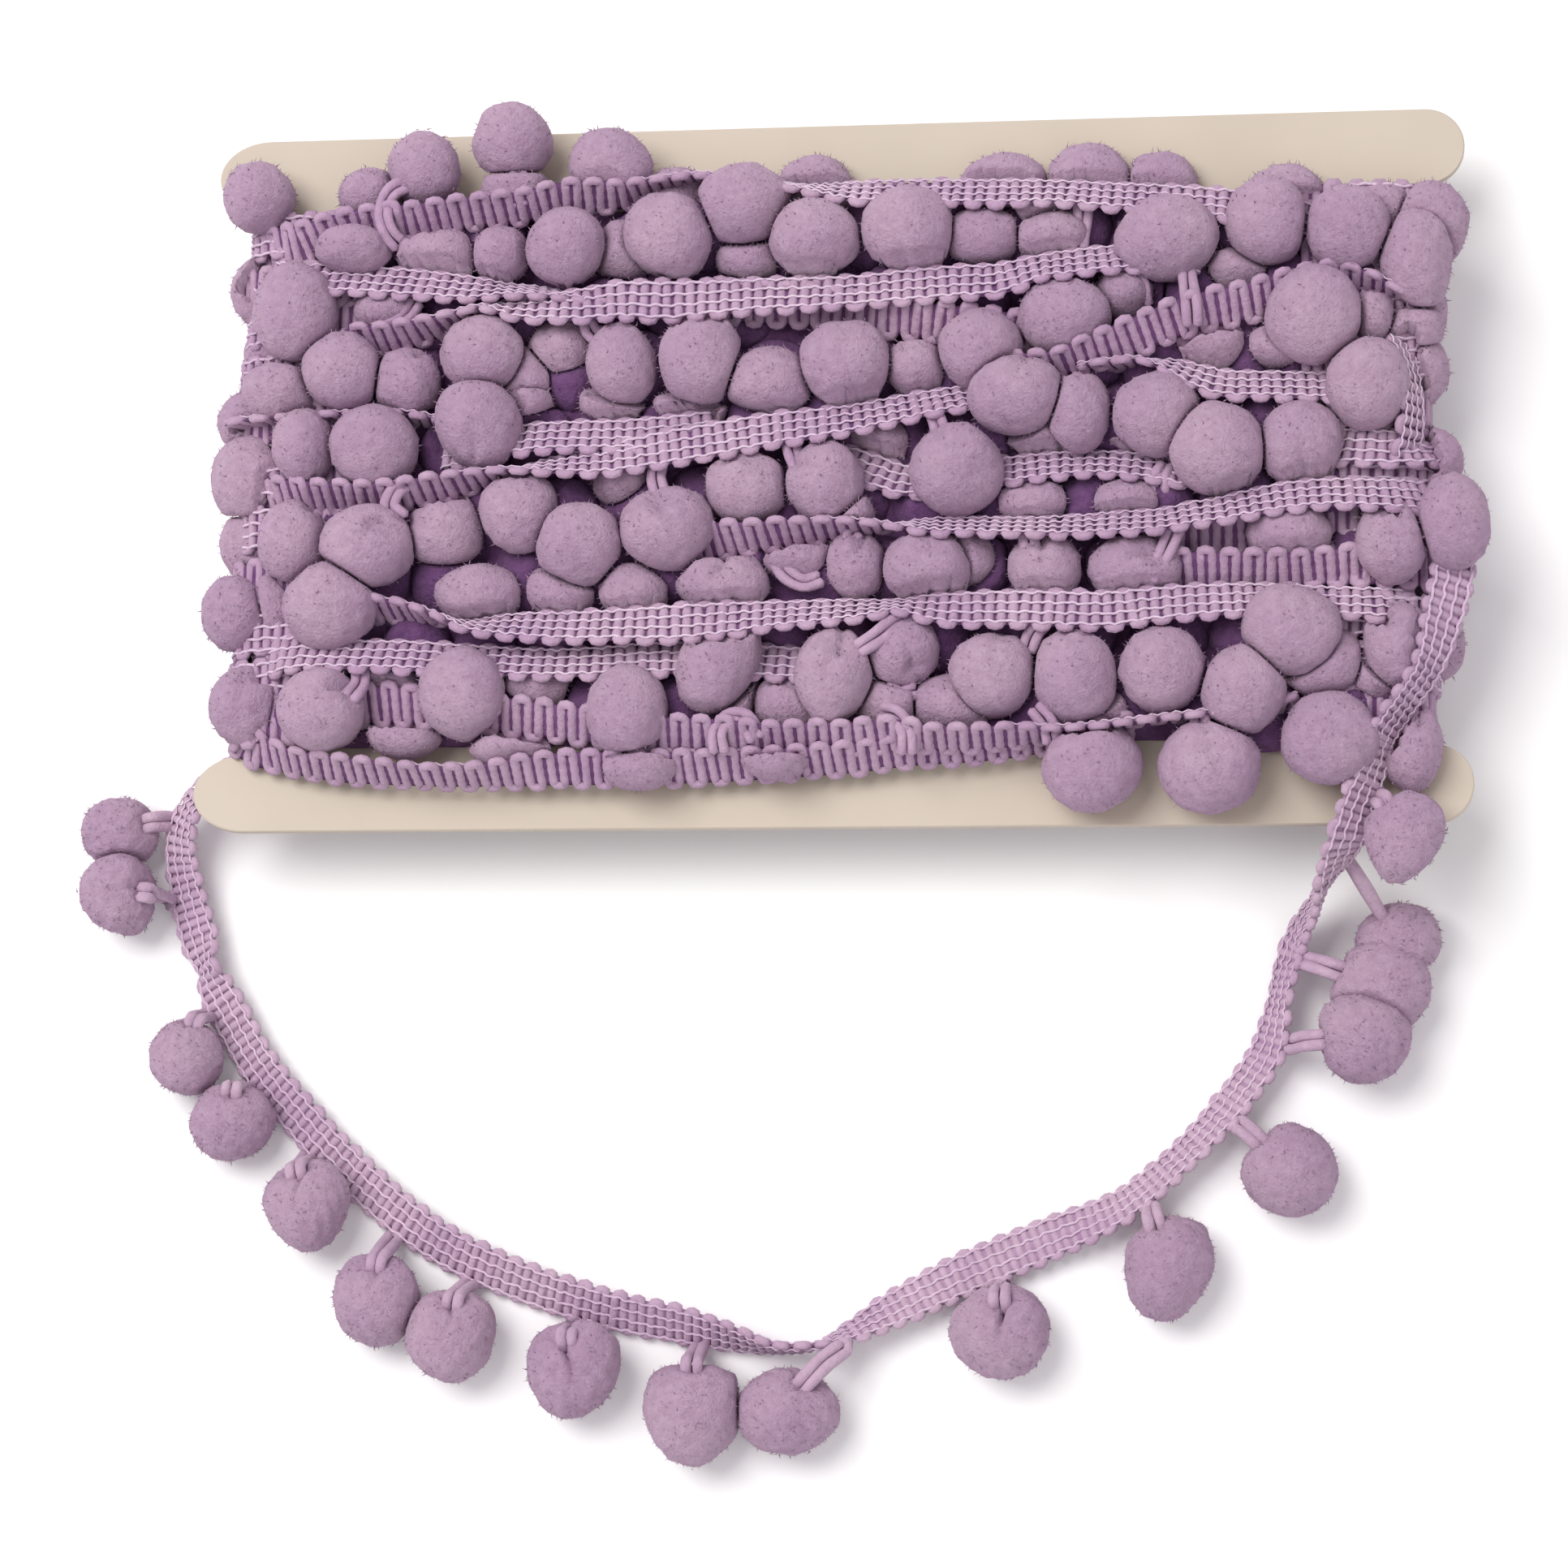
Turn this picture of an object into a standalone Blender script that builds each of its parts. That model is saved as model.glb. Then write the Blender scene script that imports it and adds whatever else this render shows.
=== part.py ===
"""Pompom fringe trim, wound on a notched winding card, with one loose loop of it lying beside the card.

Frame: +X along the card's long side, +Y across it away from the loose loop, +Z up.
The origin is under the middle of the card, on the plane that everything rests on.
All named sizes are in millimetres and are turned into metres as the meshes are made.
"""

import math
import random

import bmesh
import bpy
from mathutils import Vector

MM = 0.001
GAP = 0.3  # air between two pieces that touch in the real thing

# ---- the trim -------------------------------------------------------------
BRAID_W = 6.0  # width of the braid that carries the pompoms
BRAID_T = 1.6  # its thickness over the stitches
POM_D = 10.4  # a free pompom
TIE_W = 2.5  # the two strands that hold a pompom, side by side
TIE_T = 1.3

# ---- the winding card -----------------------------------------------------
CARD_L = 151.0  # over the tabs
CARD_H = 86.3
CARD_T = 1.2
CARD_Z = 12.0  # its underside, carried by the turns below it
WAIST_HALF = 66.8  # the ends are cut back between the tabs, where the trim passes
TAB_H = 9.3

# ---- the wound mass -------------------------------------------------------
CARD_TOP = CARD_Z + CARD_T
TUNNEL_TOP = CARD_TOP + GAP
TUNNEL_BOTTOM = CARD_Z - GAP
TUNNEL_HALF = WAIST_HALF + GAP
SIDE_START = 66.0  # where the front turns over into the side
SIDE_REACH = 5.0  # how far the braid stands out past that
SIDE_Y = 33.3  # the turns end here beside the tabs
FRONT_COLUMNS = 49
BACK_COLUMNS = 37
SIDE_ANGLES = (72, 43, 14, -14, -43, -72)
ROWS = 26

# Braid passes that show on the front. y is given at the left, the middle and the right; top is the height of the band.
FRONT_BRAID = (
    # name, y_left, y_mid, y_right, x_from, x_to, top
    ("top_edge", 28.0, 32.8, 32.5, -66.0, 48.0, 21.0),
    ("upper", 23.5, 20.5, 25.0, -62.0, 33.0, 22.4),
    ("upper_right", 4.0, 10.0, 21.5, 24.0, 64.0, 21.6),
    ("right_flat", 11.0, 11.0, 11.5, 36.0, 62.0, 19.6),
    ("middle", -3.5, 6.8, 9.5, -62.0, 16.0, 22.6),
    ("lower_middle", -9.0, -7.0, -2.5, -14.0, 66.0, 21.2),
    ("long_lower", -17.5, -16.0, -13.8, -55.0, 66.0, 22.4),
    ("left_lower", -21.5, -21.5, -19.5, -66.0, -6.0, 21.8),
    ("bottom", -27.5, -31.5, -26.0, -54.0, 60.0, 20.6),
    ("bottom_edge", -33.8, -35.8, -35.5, -66.0, 24.0, 18.6),
)
# Pompoms that show on the front, a row of them at a time, from the first to the last.
FRONT_POMS = (
    # name, x_first, y_first, x_last, y_last, count, diameter, top
    ("over_top_edge", -48.5, 36.5, -11.5, 32.5, 4, 10.2, 24.5),
    ("second", -48.0, 26.5, 66.0, 26.5, 11, 10.2, 25.2),
    ("third_left", -64.5, 18.0, -36.0, 14.0, 4, 10.0, 25.0),
    ("third_mid", -26.0, 13.5, 25.5, 16.0, 6, 10.2, 25.2),
    ("third_right", 20.5, 10.0, 61.0, 11.0, 4, 10.8, 25.6),
    ("fourth_left", -63.5, 2.5, -42.5, 6.0, 3, 10.2, 25.4),
    ("fourth_right", 13.5, 1.0, 54.0, 3.5, 3, 11.0, 25.8),
    ("fifth_left", -65.0, -8.0, -20.0, -6.5, 5, 10.6, 25.2),
    ("fifth_mid", -11.0, -1.5, -2.0, -1.0, 2, 9.6, 24.8),
    ("fifth_right", 10.0, -10.5, 34.5, -11.0, 3, 9.8, 24.4),
    ("sixth", -61.0, -16.0, -14.5, -12.0, 5, 10.0, 23.6),
    ("seventh", -14.5, -23.5, 47.0, -24.0, 6, 10.0, 24.6),
    ("eighth", -61.5, -28.0, -25.5, -28.0, 3, 10.6, 24.8),
)
# Pompoms that hang over the long edges of the wound mass, on the card's bare strips.
EDGE_POMS = (
    # x, y, diameter, top
    (-68.0, 32.6, 8.8, 21.5),
    (-48.3, 36.6, 9.4, 23.0),
    (-37.9, 39.7, 9.8, 23.5),
    (-26.2, 37.0, 10.0, 23.5),
    (-10.2, 32.8, 10.4, 23.8),
    (31.6, 36.8, 9.8, 21.0),
    (38.6, 36.2, 9.2, 20.0),
    (54.0, 35.0, 9.4, 20.0),
    (-23.8, -34.6, 10.0, 20.5),
    (-8.0, -34.8, 9.0, 19.5),
    (30.4, -34.6, 10.6, 22.0),
    (44.6, -34.2, 10.8, 22.0),
    (58.0, -31.0, 10.0, 21.5),
)
# Pompoms pushed out past the ends of the card.
SIDE_POMS = (
    # end, y, diameter, how far past the card's cut-back end
    ("left", 20.0, 9.5, 7.0),
    ("left", 9.5, 9.0, 7.6),
    ("left", -1.0, 10.0, 7.8),
    ("left", -16.5, 9.0, 9.0),
    ("left", -27.0, 10.0, 8.4),
    ("right", 28.0, 9.0, 9.4),
    ("right", 12.5, 10.0, 7.4),
    ("right", -6.5, 10.0, 10.0),
    ("right", -20.0, 10.0, 8.4),
)
# The back, which lies on the surface: rows of pompoms pressed flat, and the braid between them.
BACK_POM_ROWS = (
    # y, x_first, pitch, count, diameter
    (27.4, -62.6, 13.9, 10, 10.2),
    (13.9, -56.4, 14.1, 9, 10.4),
    (0.0, -62.9, 14.3, 4, 10.4),
    (0.0, 14.2, 14.3, 4, 10.4),
    (-13.9, -56.2, 14.0, 9, 10.4),
    (-27.4, -62.4, 13.9, 10, 10.2),
)
BACK_POM_CENTRE = 3.2  # height of their centres, which leaves each a flat spot
REST_SPOT = (0.0, 0.0, 6.4, 3.2)  # x, y, radius, centre: the pompom pressed flattest, under the middle of the card
BACK_BRAID = (
    # y_left, y_mid, y_right, height of the band's outer face
    (33.0, 33.8, 32.8, 3.2),
    (20.2, 21.2, 20.8, 1.9),
    (7.6, 6.6, 7.0, 1.8),
    (-6.4, -7.4, -6.8, 1.8),
    (-20.9, -20.2, -21.3, 1.9),
    (-33.2, -34.0, -33.0, 3.2),
)

# ---- the loose loop -------------------------------------------------------
# The middle line of the braid from the turn it leaves, over the card's edge and round to where it goes back under it.
# roll turns the band about that line: at 0 it lies flat with the pompoms' edge outwards, at -90 it stands on that edge.
LOOP = (
    # x, y, z, roll
    (65.5, -34.1, 18.9, -20),
    (64.9, -37.4, 18.3, -22),
    (62.9, -41.8, 17.7, -26),
    (61.1, -45.4, 17.1, -38),
    (59.6, -48.3, 13.6, -80),
    (57.6, -51.2, 8.6, -108),
    (55.2, -54.8, 4.8, -122),
    (53.9, -58.4, 3.8, -122),
    (53.0, -62.5, 3.6, -120),
    (51.6, -68.1, 2.9, -140),
    (48.5, -72.8, 2.7, -142),
    (44.8, -77.3, 2.8, -138),
    (40.3, -81.8, 2.9, -134),
    (34.2, -86.6, 2.7, -142),
    (25.2, -90.4, 1.8, -165),
    (16.1, -94.3, 1.8, -166),
    (8.0, -98.5, 2.5, -146),
    (3.3, -101.1, 3.2, -120),
    (-0.8, -102.7, 3.9, -94),
    (-5.4, -102.9, 3.9, -86),
    (-10.4, -101.8, 3.4, -62),
    (-16.3, -100.4, 2.8, -44),
    (-24.9, -98.7, 2.5, -36),
    (-35.0, -95.7, 2.2, -30),
    (-45.9, -90.9, 2.0, -26),
    (-55.7, -83.6, 1.8, -20),
    (-63.2, -76.3, 1.8, -20),
    (-69.1, -69.5, 2.0, -26),
    (-74.2, -61.0, 2.3, -32),
    (-76.9, -54.1, 2.6, -38),
    (-78.7, -47.7, 3.2, -46),
    (-79.2, -43.2, 4.4, -52),
    (-78.3, -39.6, 5.6, -58),
    (-76.4, -36.9, 6.3, -64),
    (-74.2, -34.9, 6.6, -68),
)
LOOP_STEP = 3.4  # length of one straight piece of the swept braid

# The pompoms of the loose loop, in order from the turn it leaves.
LOOP_POMS = (
    # name, x, y, z, radius
    ("pompom_01", 67.4, -45.8, 18.2, 4.3),
    ("pompom_02", 66.8, -55.6, 6.2, 4.5),
    ("pompom_03", 64.3, -60.8, 5.0, 5.1),
    ("pompom_04", 62.7, -67.3, 6.4, 5.0),
    ("pompom_05", 54.1, -82.2, 5.2, 5.3),
    ("pompom_06", 40.1, -93.5, 5.1, 5.3),
    ("pompom_07", 21.2, -101.1, 5.2, 5.3),
    ("pompom_08", -4.1, -110.2, 5.0, 5.3),
    ("pompom_09", -14.8, -110.7, 5.3, 5.6),
    ("pompom_10", -29.1, -105.8, 5.1, 5.4),
    ("pompom_11", -43.7, -101.9, 5.0, 5.2),
    ("pompom_12", -52.8, -97.7, 5.0, 5.1),
    ("pompom_13", -61.8, -86.6, 4.9, 5.1),
    ("pompom_14", -71.3, -76.7, 4.9, 5.1),
    ("pompom_15", -77.3, -68.9, 4.6, 4.5),
    ("pompom_16", -86.2, -49.3, 4.6, 4.7),
    ("pompom_17", -87.9, -41.6, 4.1, 4.1),
)
# Where along the braid (x, y of the loop's middle line) each pompom's tie leaves it.
TIES = {
    "pompom_01": (63.6, -41.4),
    "pompom_02": (59.6, -48.6),
    "pompom_03": (54.6, -57.0),
    "pompom_04": (52.2, -66.6),
    "pompom_05": (47.0, -75.6),
    "pompom_06": (36.6, -85.0),
    "pompom_07": (19.6, -92.8),
    "pompom_08": (1.6, -101.8),
    "pompom_09": (-14.8, -100.8),
    "pompom_10": (-28.6, -97.8),
    "pompom_11": (-41.4, -93.2),
    "pompom_12": (-50.6, -87.8),
    "pompom_13": (-61.0, -78.6),
    "pompom_14": (-68.4, -70.4),
    "pompom_15": (-73.6, -62.4),
    "pompom_16": (-78.4, -49.2),
    "pompom_17": (-79.0, -41.2),
}


# ---- small helpers --------------------------------------------------------
def clear_scene():
    for old in list(bpy.data.objects):
        bpy.data.objects.remove(old, do_unlink=True)


def make_material(name, colour, roughness, metallic=0.0):
    material = bpy.data.materials.new(name)
    material.use_nodes = True
    shader = material.node_tree.nodes["Principled BSDF"]
    shader.inputs["Base Color"].default_value = (*colour, 1.0)
    shader.inputs["Roughness"].default_value = roughness
    shader.inputs["Metallic"].default_value = metallic
    material.diffuse_color = (*colour, 1.0)
    return material


def make_object(name, points, faces, material, smooth):
    """One closed mesh, from points in millimetres."""
    mesh = bpy.data.meshes.new(name)
    mesh.from_pydata([Vector(p) * MM for p in points], [], faces)
    work = bmesh.new()
    work.from_mesh(mesh)
    bmesh.ops.recalc_face_normals(work, faces=work.faces)
    work.to_mesh(mesh)
    work.free()
    for polygon in mesh.polygons:
        polygon.use_smooth = smooth
    mesh.materials.append(material)
    made = bpy.data.objects.new(name, mesh)
    bpy.context.scene.collection.objects.link(made)
    return made


def through_three(left, middle, right, x):
    """The height at x of the curve through its values at -66, 0 and 66."""
    t = x / 66.0
    return middle + 0.5 * (right - left) * t + (0.5 * (right + left) - middle) * t * t


def spline(points, step):
    """Points about a step apart on the smooth curve through the given ones; every column is smoothed alike."""
    fine = []
    last = len(points) - 1
    for i in range(last):
        p0, p1, p2, p3 = (points[max(0, min(last, i + k))] for k in (-1, 0, 1, 2))
        for j in range(12):
            t = j / 12.0
            fine.append(
                tuple(
                    0.5
                    * (
                        2 * b
                        + (c - a) * t
                        + (2 * a - 5 * b + 4 * c - d) * t * t
                        + (3 * b - a - 3 * c + d) * t * t * t
                    )
                    for a, b, c, d in zip(p0, p1, p2, p3)
                )
            )
    fine.append(tuple(float(v) for v in points[-1]))
    lengths = [0.0]
    for a, b in zip(fine, fine[1:]):
        lengths.append(lengths[-1] + (Vector(b[:3]) - Vector(a[:3])).length)
    count = max(2, round(lengths[-1] / step))
    out = []
    k = 0
    for i in range(count + 1):
        target = lengths[-1] * i / count
        while k < len(fine) - 2 and lengths[k + 1] < target:
            k += 1
        t = (target - lengths[k]) / max(1e-9, lengths[k + 1] - lengths[k])
        out.append(tuple(a + (b - a) * t for a, b in zip(fine[k], fine[k + 1])))
    return out


# ---- the card -------------------------------------------------------------
def tab_end(cx, cy, reach_x, reach_y, start, end, steps=9):
    """Part of an ellipse, for the rounded end of one tab."""
    return [
        (
            cx + reach_x * math.cos(math.radians(start + (end - start) * i / steps)),
            cy + reach_y * math.sin(math.radians(start + (end - start) * i / steps)),
        )
        for i in range(steps + 1)
    ]


def card_outline():
    """Anticlockwise from the bottom right tab. The left tabs are rounded a little longer than the right ones."""
    half_l, half_h, r = CARD_L / 2, CARD_H / 2, TAB_H / 2
    long_r = r + 1.6
    outline = []
    outline += tab_end(half_l - r, -half_h + r, r, r, -90, 90)
    outline += [(WAIST_HALF, -half_h + TAB_H), (WAIST_HALF, half_h - TAB_H)]
    outline += tab_end(half_l - r, half_h - r, r, r, -90, 90)
    outline += tab_end(-half_l + long_r, half_h - r, long_r, r, 90, 270)
    outline += [(-WAIST_HALF, half_h - TAB_H), (-WAIST_HALF, -half_h + TAB_H)]
    outline += tab_end(-half_l + long_r, -half_h + r, long_r, r, 90, 270)
    return outline


def build_card(material):
    outline = card_outline()
    n = len(outline)
    points = [(x, y, CARD_Z) for x, y in outline] + [
        (x, y, CARD_TOP) for x, y in outline
    ]
    faces = [tuple(reversed(range(n))), tuple(range(n, 2 * n))]
    faces += [(i, (i + 1) % n, n + (i + 1) % n, n + i) for i in range(n)]
    return make_object("winding_card", points, faces, material, False)


# ---- the wound mass -------------------------------------------------------
def row_of_poms(x0, y0, x1, y1, count):
    """Even places from the first to the last, each moved a little as the turns of a soft trim are."""
    chance = random.Random(round(37 * x0 + 11 * y0 + 3 * x1 + count))
    places = []
    for i in range(count):
        t = i / max(1, count - 1)
        places.append(
            (
                x0 + (x1 - x0) * t + chance.uniform(-0.7, 0.7),
                y0 + (y1 - y0) * t + chance.uniform(-0.8, 0.8),
            )
        )
    return places


def front_domes():
    domes = []
    for _, x0, y0, x1, y1, count, diameter, top in FRONT_POMS:
        r = diameter / 2
        domes += [(x, y, r, top - r) for x, y in row_of_poms(x0, y0, x1, y1, count)]
    domes += [(x, y, d / 2, top - d / 2) for x, y, d, top in EDGE_POMS]
    return domes


def back_domes():
    domes = []
    for y, x_first, pitch, count, diameter in BACK_POM_ROWS:
        x_last = x_first + pitch * (count - 1)
        for x, y_here in row_of_poms(x_first, y, x_last, y, count):
            domes.append((x, y_here, diameter / 2, BACK_POM_CENTRE))
    domes.append(REST_SPOT)
    return domes


def front_height(x, y, domes):
    height = 18.2 + 0.5 * math.sin(0.21 * x + 0.9) * math.cos(0.33 * y)
    for _, y_left, y_mid, y_right, x_from, x_to, top in FRONT_BRAID:
        if x_from - 2 < x < x_to + 2:
            off = abs(y - through_three(y_left, y_mid, y_right, x))
            if off < BRAID_W / 2 + 1:
                height = max(height, top - max(0.0, off - BRAID_W / 2) * 1.5)
    for cx, cy, r, cz in domes:
        d2 = (x - cx) ** 2 + (y - cy) ** 2
        if d2 < r * r:
            height = max(height, cz + math.sqrt(r * r - d2))
    return height


def back_height(x, y, domes):
    height = 4.6 + 0.4 * math.sin(0.19 * x) * math.cos(0.29 * y + 0.5)
    for y_left, y_mid, y_right, face in BACK_BRAID:
        off = abs(y - through_three(y_left, y_mid, y_right, x))
        if off < BRAID_W / 2 + 1:
            height = min(height, face + max(0.0, off - BRAID_W / 2) * 1.5)
    for cx, cy, r, cz in domes:
        d2 = (x - cx) ** 2 + (y - cy) ** 2
        if d2 < r * r:
            height = min(height, cz - math.sqrt(r * r - d2))
    return max(0.0, height)


def front_limits(x):
    """Lowest and highest y of the front turns at x: straight beside the tabs, pushed out by the edge pompoms between."""
    ramp = max(0.0, min(1.0, (62.0 - abs(x)) / 8.0))
    low = -SIDE_Y - (3.6 + 0.6 * math.sin(0.13 * x)) * ramp
    high = SIDE_Y + (1.4 + 0.5 * math.sin(0.11 * x + 2.0)) * ramp
    for cx, cy, diameter, _ in EDGE_POMS:
        r = diameter / 2
        if abs(x - cx) < r and abs(cx) < 60:
            bulge = 0.85 * math.sqrt(r * r - (x - cx) ** 2)
            if cy > 0:
                high = max(high, cy + bulge)
            else:
                low = min(low, cy - bulge)
    return low, high


def back_limits(x):
    ramp = max(0.0, min(1.0, (62.0 - abs(x)) / 8.0))
    return (
        -SIDE_Y - (2.6 + 0.6 * math.sin(0.17 * x + 1.0)) * ramp,
        SIDE_Y + (2.4 + 0.6 * math.sin(0.15 * x)) * ramp,
    )


def rounded_off(height, inner, y, low, high):
    """Draws the surface in towards the card over the last few millimetres of each long edge."""
    reach = 4.5
    near = max(0.0, min(1.0, min(y - low, high - y) / reach))
    share = 0.35 + 0.65 * math.sqrt(max(0.0, 1 - (1 - near) ** 2))
    return inner + (height - inner) * share


def side_reach(end, y, angle):
    """How far the side stands out from where it starts, with the pompoms that are pushed out there."""
    reach = SIDE_REACH + 0.4 * math.sin(0.9 * y)
    for which, cy, diameter, out in SIDE_POMS:
        r = diameter / 2
        if which == end and abs(y - cy) < r:
            dome = math.sqrt(1 - ((y - cy) / r) ** 2)
            full = WAIST_HALF + out - SIDE_START
            reach = max(
                reach,
                SIDE_REACH
                + (full - SIDE_REACH) * dome * math.cos(math.radians(angle)) ** 2,
            )
    return reach


def build_wound_trim(material):
    """A ring of turns round the card. Each column of points runs along Y; the columns go once round the card."""
    front, back = front_domes(), back_domes()
    columns = []  # ("front", x) | ("right", angle) | ("back", x) | ("left", angle)
    for i in range(FRONT_COLUMNS):
        columns.append(("front", -SIDE_START + 2 * SIDE_START * i / (FRONT_COLUMNS - 1)))
    columns += [("right", a) for a in SIDE_ANGLES]
    for i in range(BACK_COLUMNS):
        columns.append(("back", SIDE_START - 2 * SIDE_START * i / (BACK_COLUMNS - 1)))
    columns += [("left", -a) for a in SIDE_ANGLES]

    middle = CARD_Z + CARD_T / 2
    points, outer, inner = [], [], []
    for kind, value in columns:
        line = []
        if kind in ("front", "back"):
            x = value
            low, high = front_limits(x) if kind == "front" else back_limits(x)
            base = TUNNEL_TOP if kind == "front" else TUNNEL_BOTTOM
            for j in range(ROWS + 1):
                y = low + (high - low) * j / ROWS
                if kind == "front":
                    z = front_height(x, y, front)
                else:
                    z = back_height(x, y, back)
                z = rounded_off(z, base, y, low, high)
                line.append((x, y, z))
            ends = [(x * TUNNEL_HALF / SIDE_START, y, base) for y in (low, high)]
        else:
            sign = 1 if kind == "right" else -1
            angle = math.radians(value)
            for j in range(ROWS + 1):
                y = -SIDE_Y + 2 * SIDE_Y * j / ROWS
                if value > 0:
                    full = front_height(sign * SIDE_START, y, front)
                    full = rounded_off(full, TUNNEL_TOP, y, -SIDE_Y, SIDE_Y) - middle
                else:
                    full = back_height(sign * SIDE_START, y, back)
                    full = middle - rounded_off(full, TUNNEL_BOTTOM, y, -SIDE_Y, SIDE_Y)
                x = SIDE_START + side_reach(kind, y, value) * math.cos(angle)
                x = SIDE_START + rounded_off(x - SIDE_START, 2.4, y, -SIDE_Y, SIDE_Y)
                line.append((sign * x, y, middle + full * math.sin(angle)))
            z = middle + (CARD_T / 2 + GAP) * math.sin(angle)
            ends = [(sign * TUNNEL_HALF, y, z) for y in (-SIDE_Y, SIDE_Y)]
        outer.append(range(len(points), len(points) + len(line)))
        points += line
        inner.append(range(len(points), len(points) + 2))
        points += ends

    faces = []
    n = len(columns)
    for i in range(n):
        k = (i + 1) % n
        for j in range(ROWS):
            faces.append((outer[i][j], outer[k][j], outer[k][j + 1], outer[i][j + 1]))
        faces.append((inner[i][0], inner[i][1], inner[k][1], inner[k][0]))
        faces.append((outer[i][0], inner[i][0], inner[k][0], outer[k][0]))
        faces.append((outer[i][-1], outer[k][-1], inner[k][1], inner[i][1]))
    # Every four-sided face is split along its shorter diagonal, so that the solid is the same wherever it is read.
    split = []
    for a, b, c, d in faces:
        ac = (Vector(points[a]) - Vector(points[c])).length
        bd = (Vector(points[b]) - Vector(points[d])).length
        split += [(a, b, c), (a, c, d)] if ac <= bd else [(a, b, d), (b, c, d)]
    return make_object("wound_trim", points, split, material, True)


# ---- the loose loop -------------------------------------------------------
def loop_stations():
    """(centre, along, across, face) for each station: across points to the pompoms' edge."""
    rows = spline(LOOP, LOOP_STEP)
    stations = []
    for i, (x, y, z, roll) in enumerate(rows):
        before = Vector(rows[max(0, i - 1)][:3])
        after = Vector(rows[min(len(rows) - 1, i + 1)][:3])
        along = (after - before).normalized()
        out = Vector((0, 0, 1)).cross(along).normalized()
        up = along.cross(out).normalized()
        a = math.radians(roll)
        across = out * math.cos(a) + up * math.sin(a)
        face = along.cross(across).normalized()
        low = abs(across.z) * BRAID_W / 2 + abs(face.z) * BRAID_T / 2
        stations.append((Vector((x, y, max(z, low + 0.02))), along, across, face))
    return stations


def build_loop_braid(stations, material):
    w, t = BRAID_W / 2, BRAID_T / 2
    section = (
        (-w, -0.4 * t),
        (-w + 0.6, -t),
        (w - 0.6, -t),
        (w, -0.4 * t),
        (w, 0.4 * t),
        (w - 0.6, t),
        (-w + 0.6, t),
        (-w, 0.4 * t),
    )
    n = len(section)
    points, faces = [], []
    for centre, _, across, face in stations:
        points += [centre + across * a + face * b for a, b in section]
    for i in range(len(stations) - 1):
        for j in range(n):
            a, b = i * n + j, i * n + (j + 1) % n
            faces += [(a, b, b + n), (a, b + n, a + n)]
    last = len(points) - n
    faces.append(tuple(reversed(range(n))))
    faces.append(tuple(range(last, last + n)))
    return make_object("loop_braid", points, faces, material, True)


def reach_towards(station, direction):
    """Half the size of the braid's section in a direction."""
    _, _, across, face = station
    return abs(across.dot(direction)) * BRAID_W / 2 + abs(face.dot(direction)) * BRAID_T / 2


def inside_braid(point, stations, margin):
    """Whether a point is in the braid, or nearer to it than margin."""
    for centre, along, across, face in stations:
        off = point - centre
        if (
            abs(off.dot(along)) < LOOP_STEP * 0.65
            and abs(off.dot(across)) < BRAID_W / 2 + margin
            and abs(off.dot(face)) < BRAID_T / 2 + margin
        ):
            return True
    return False


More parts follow.
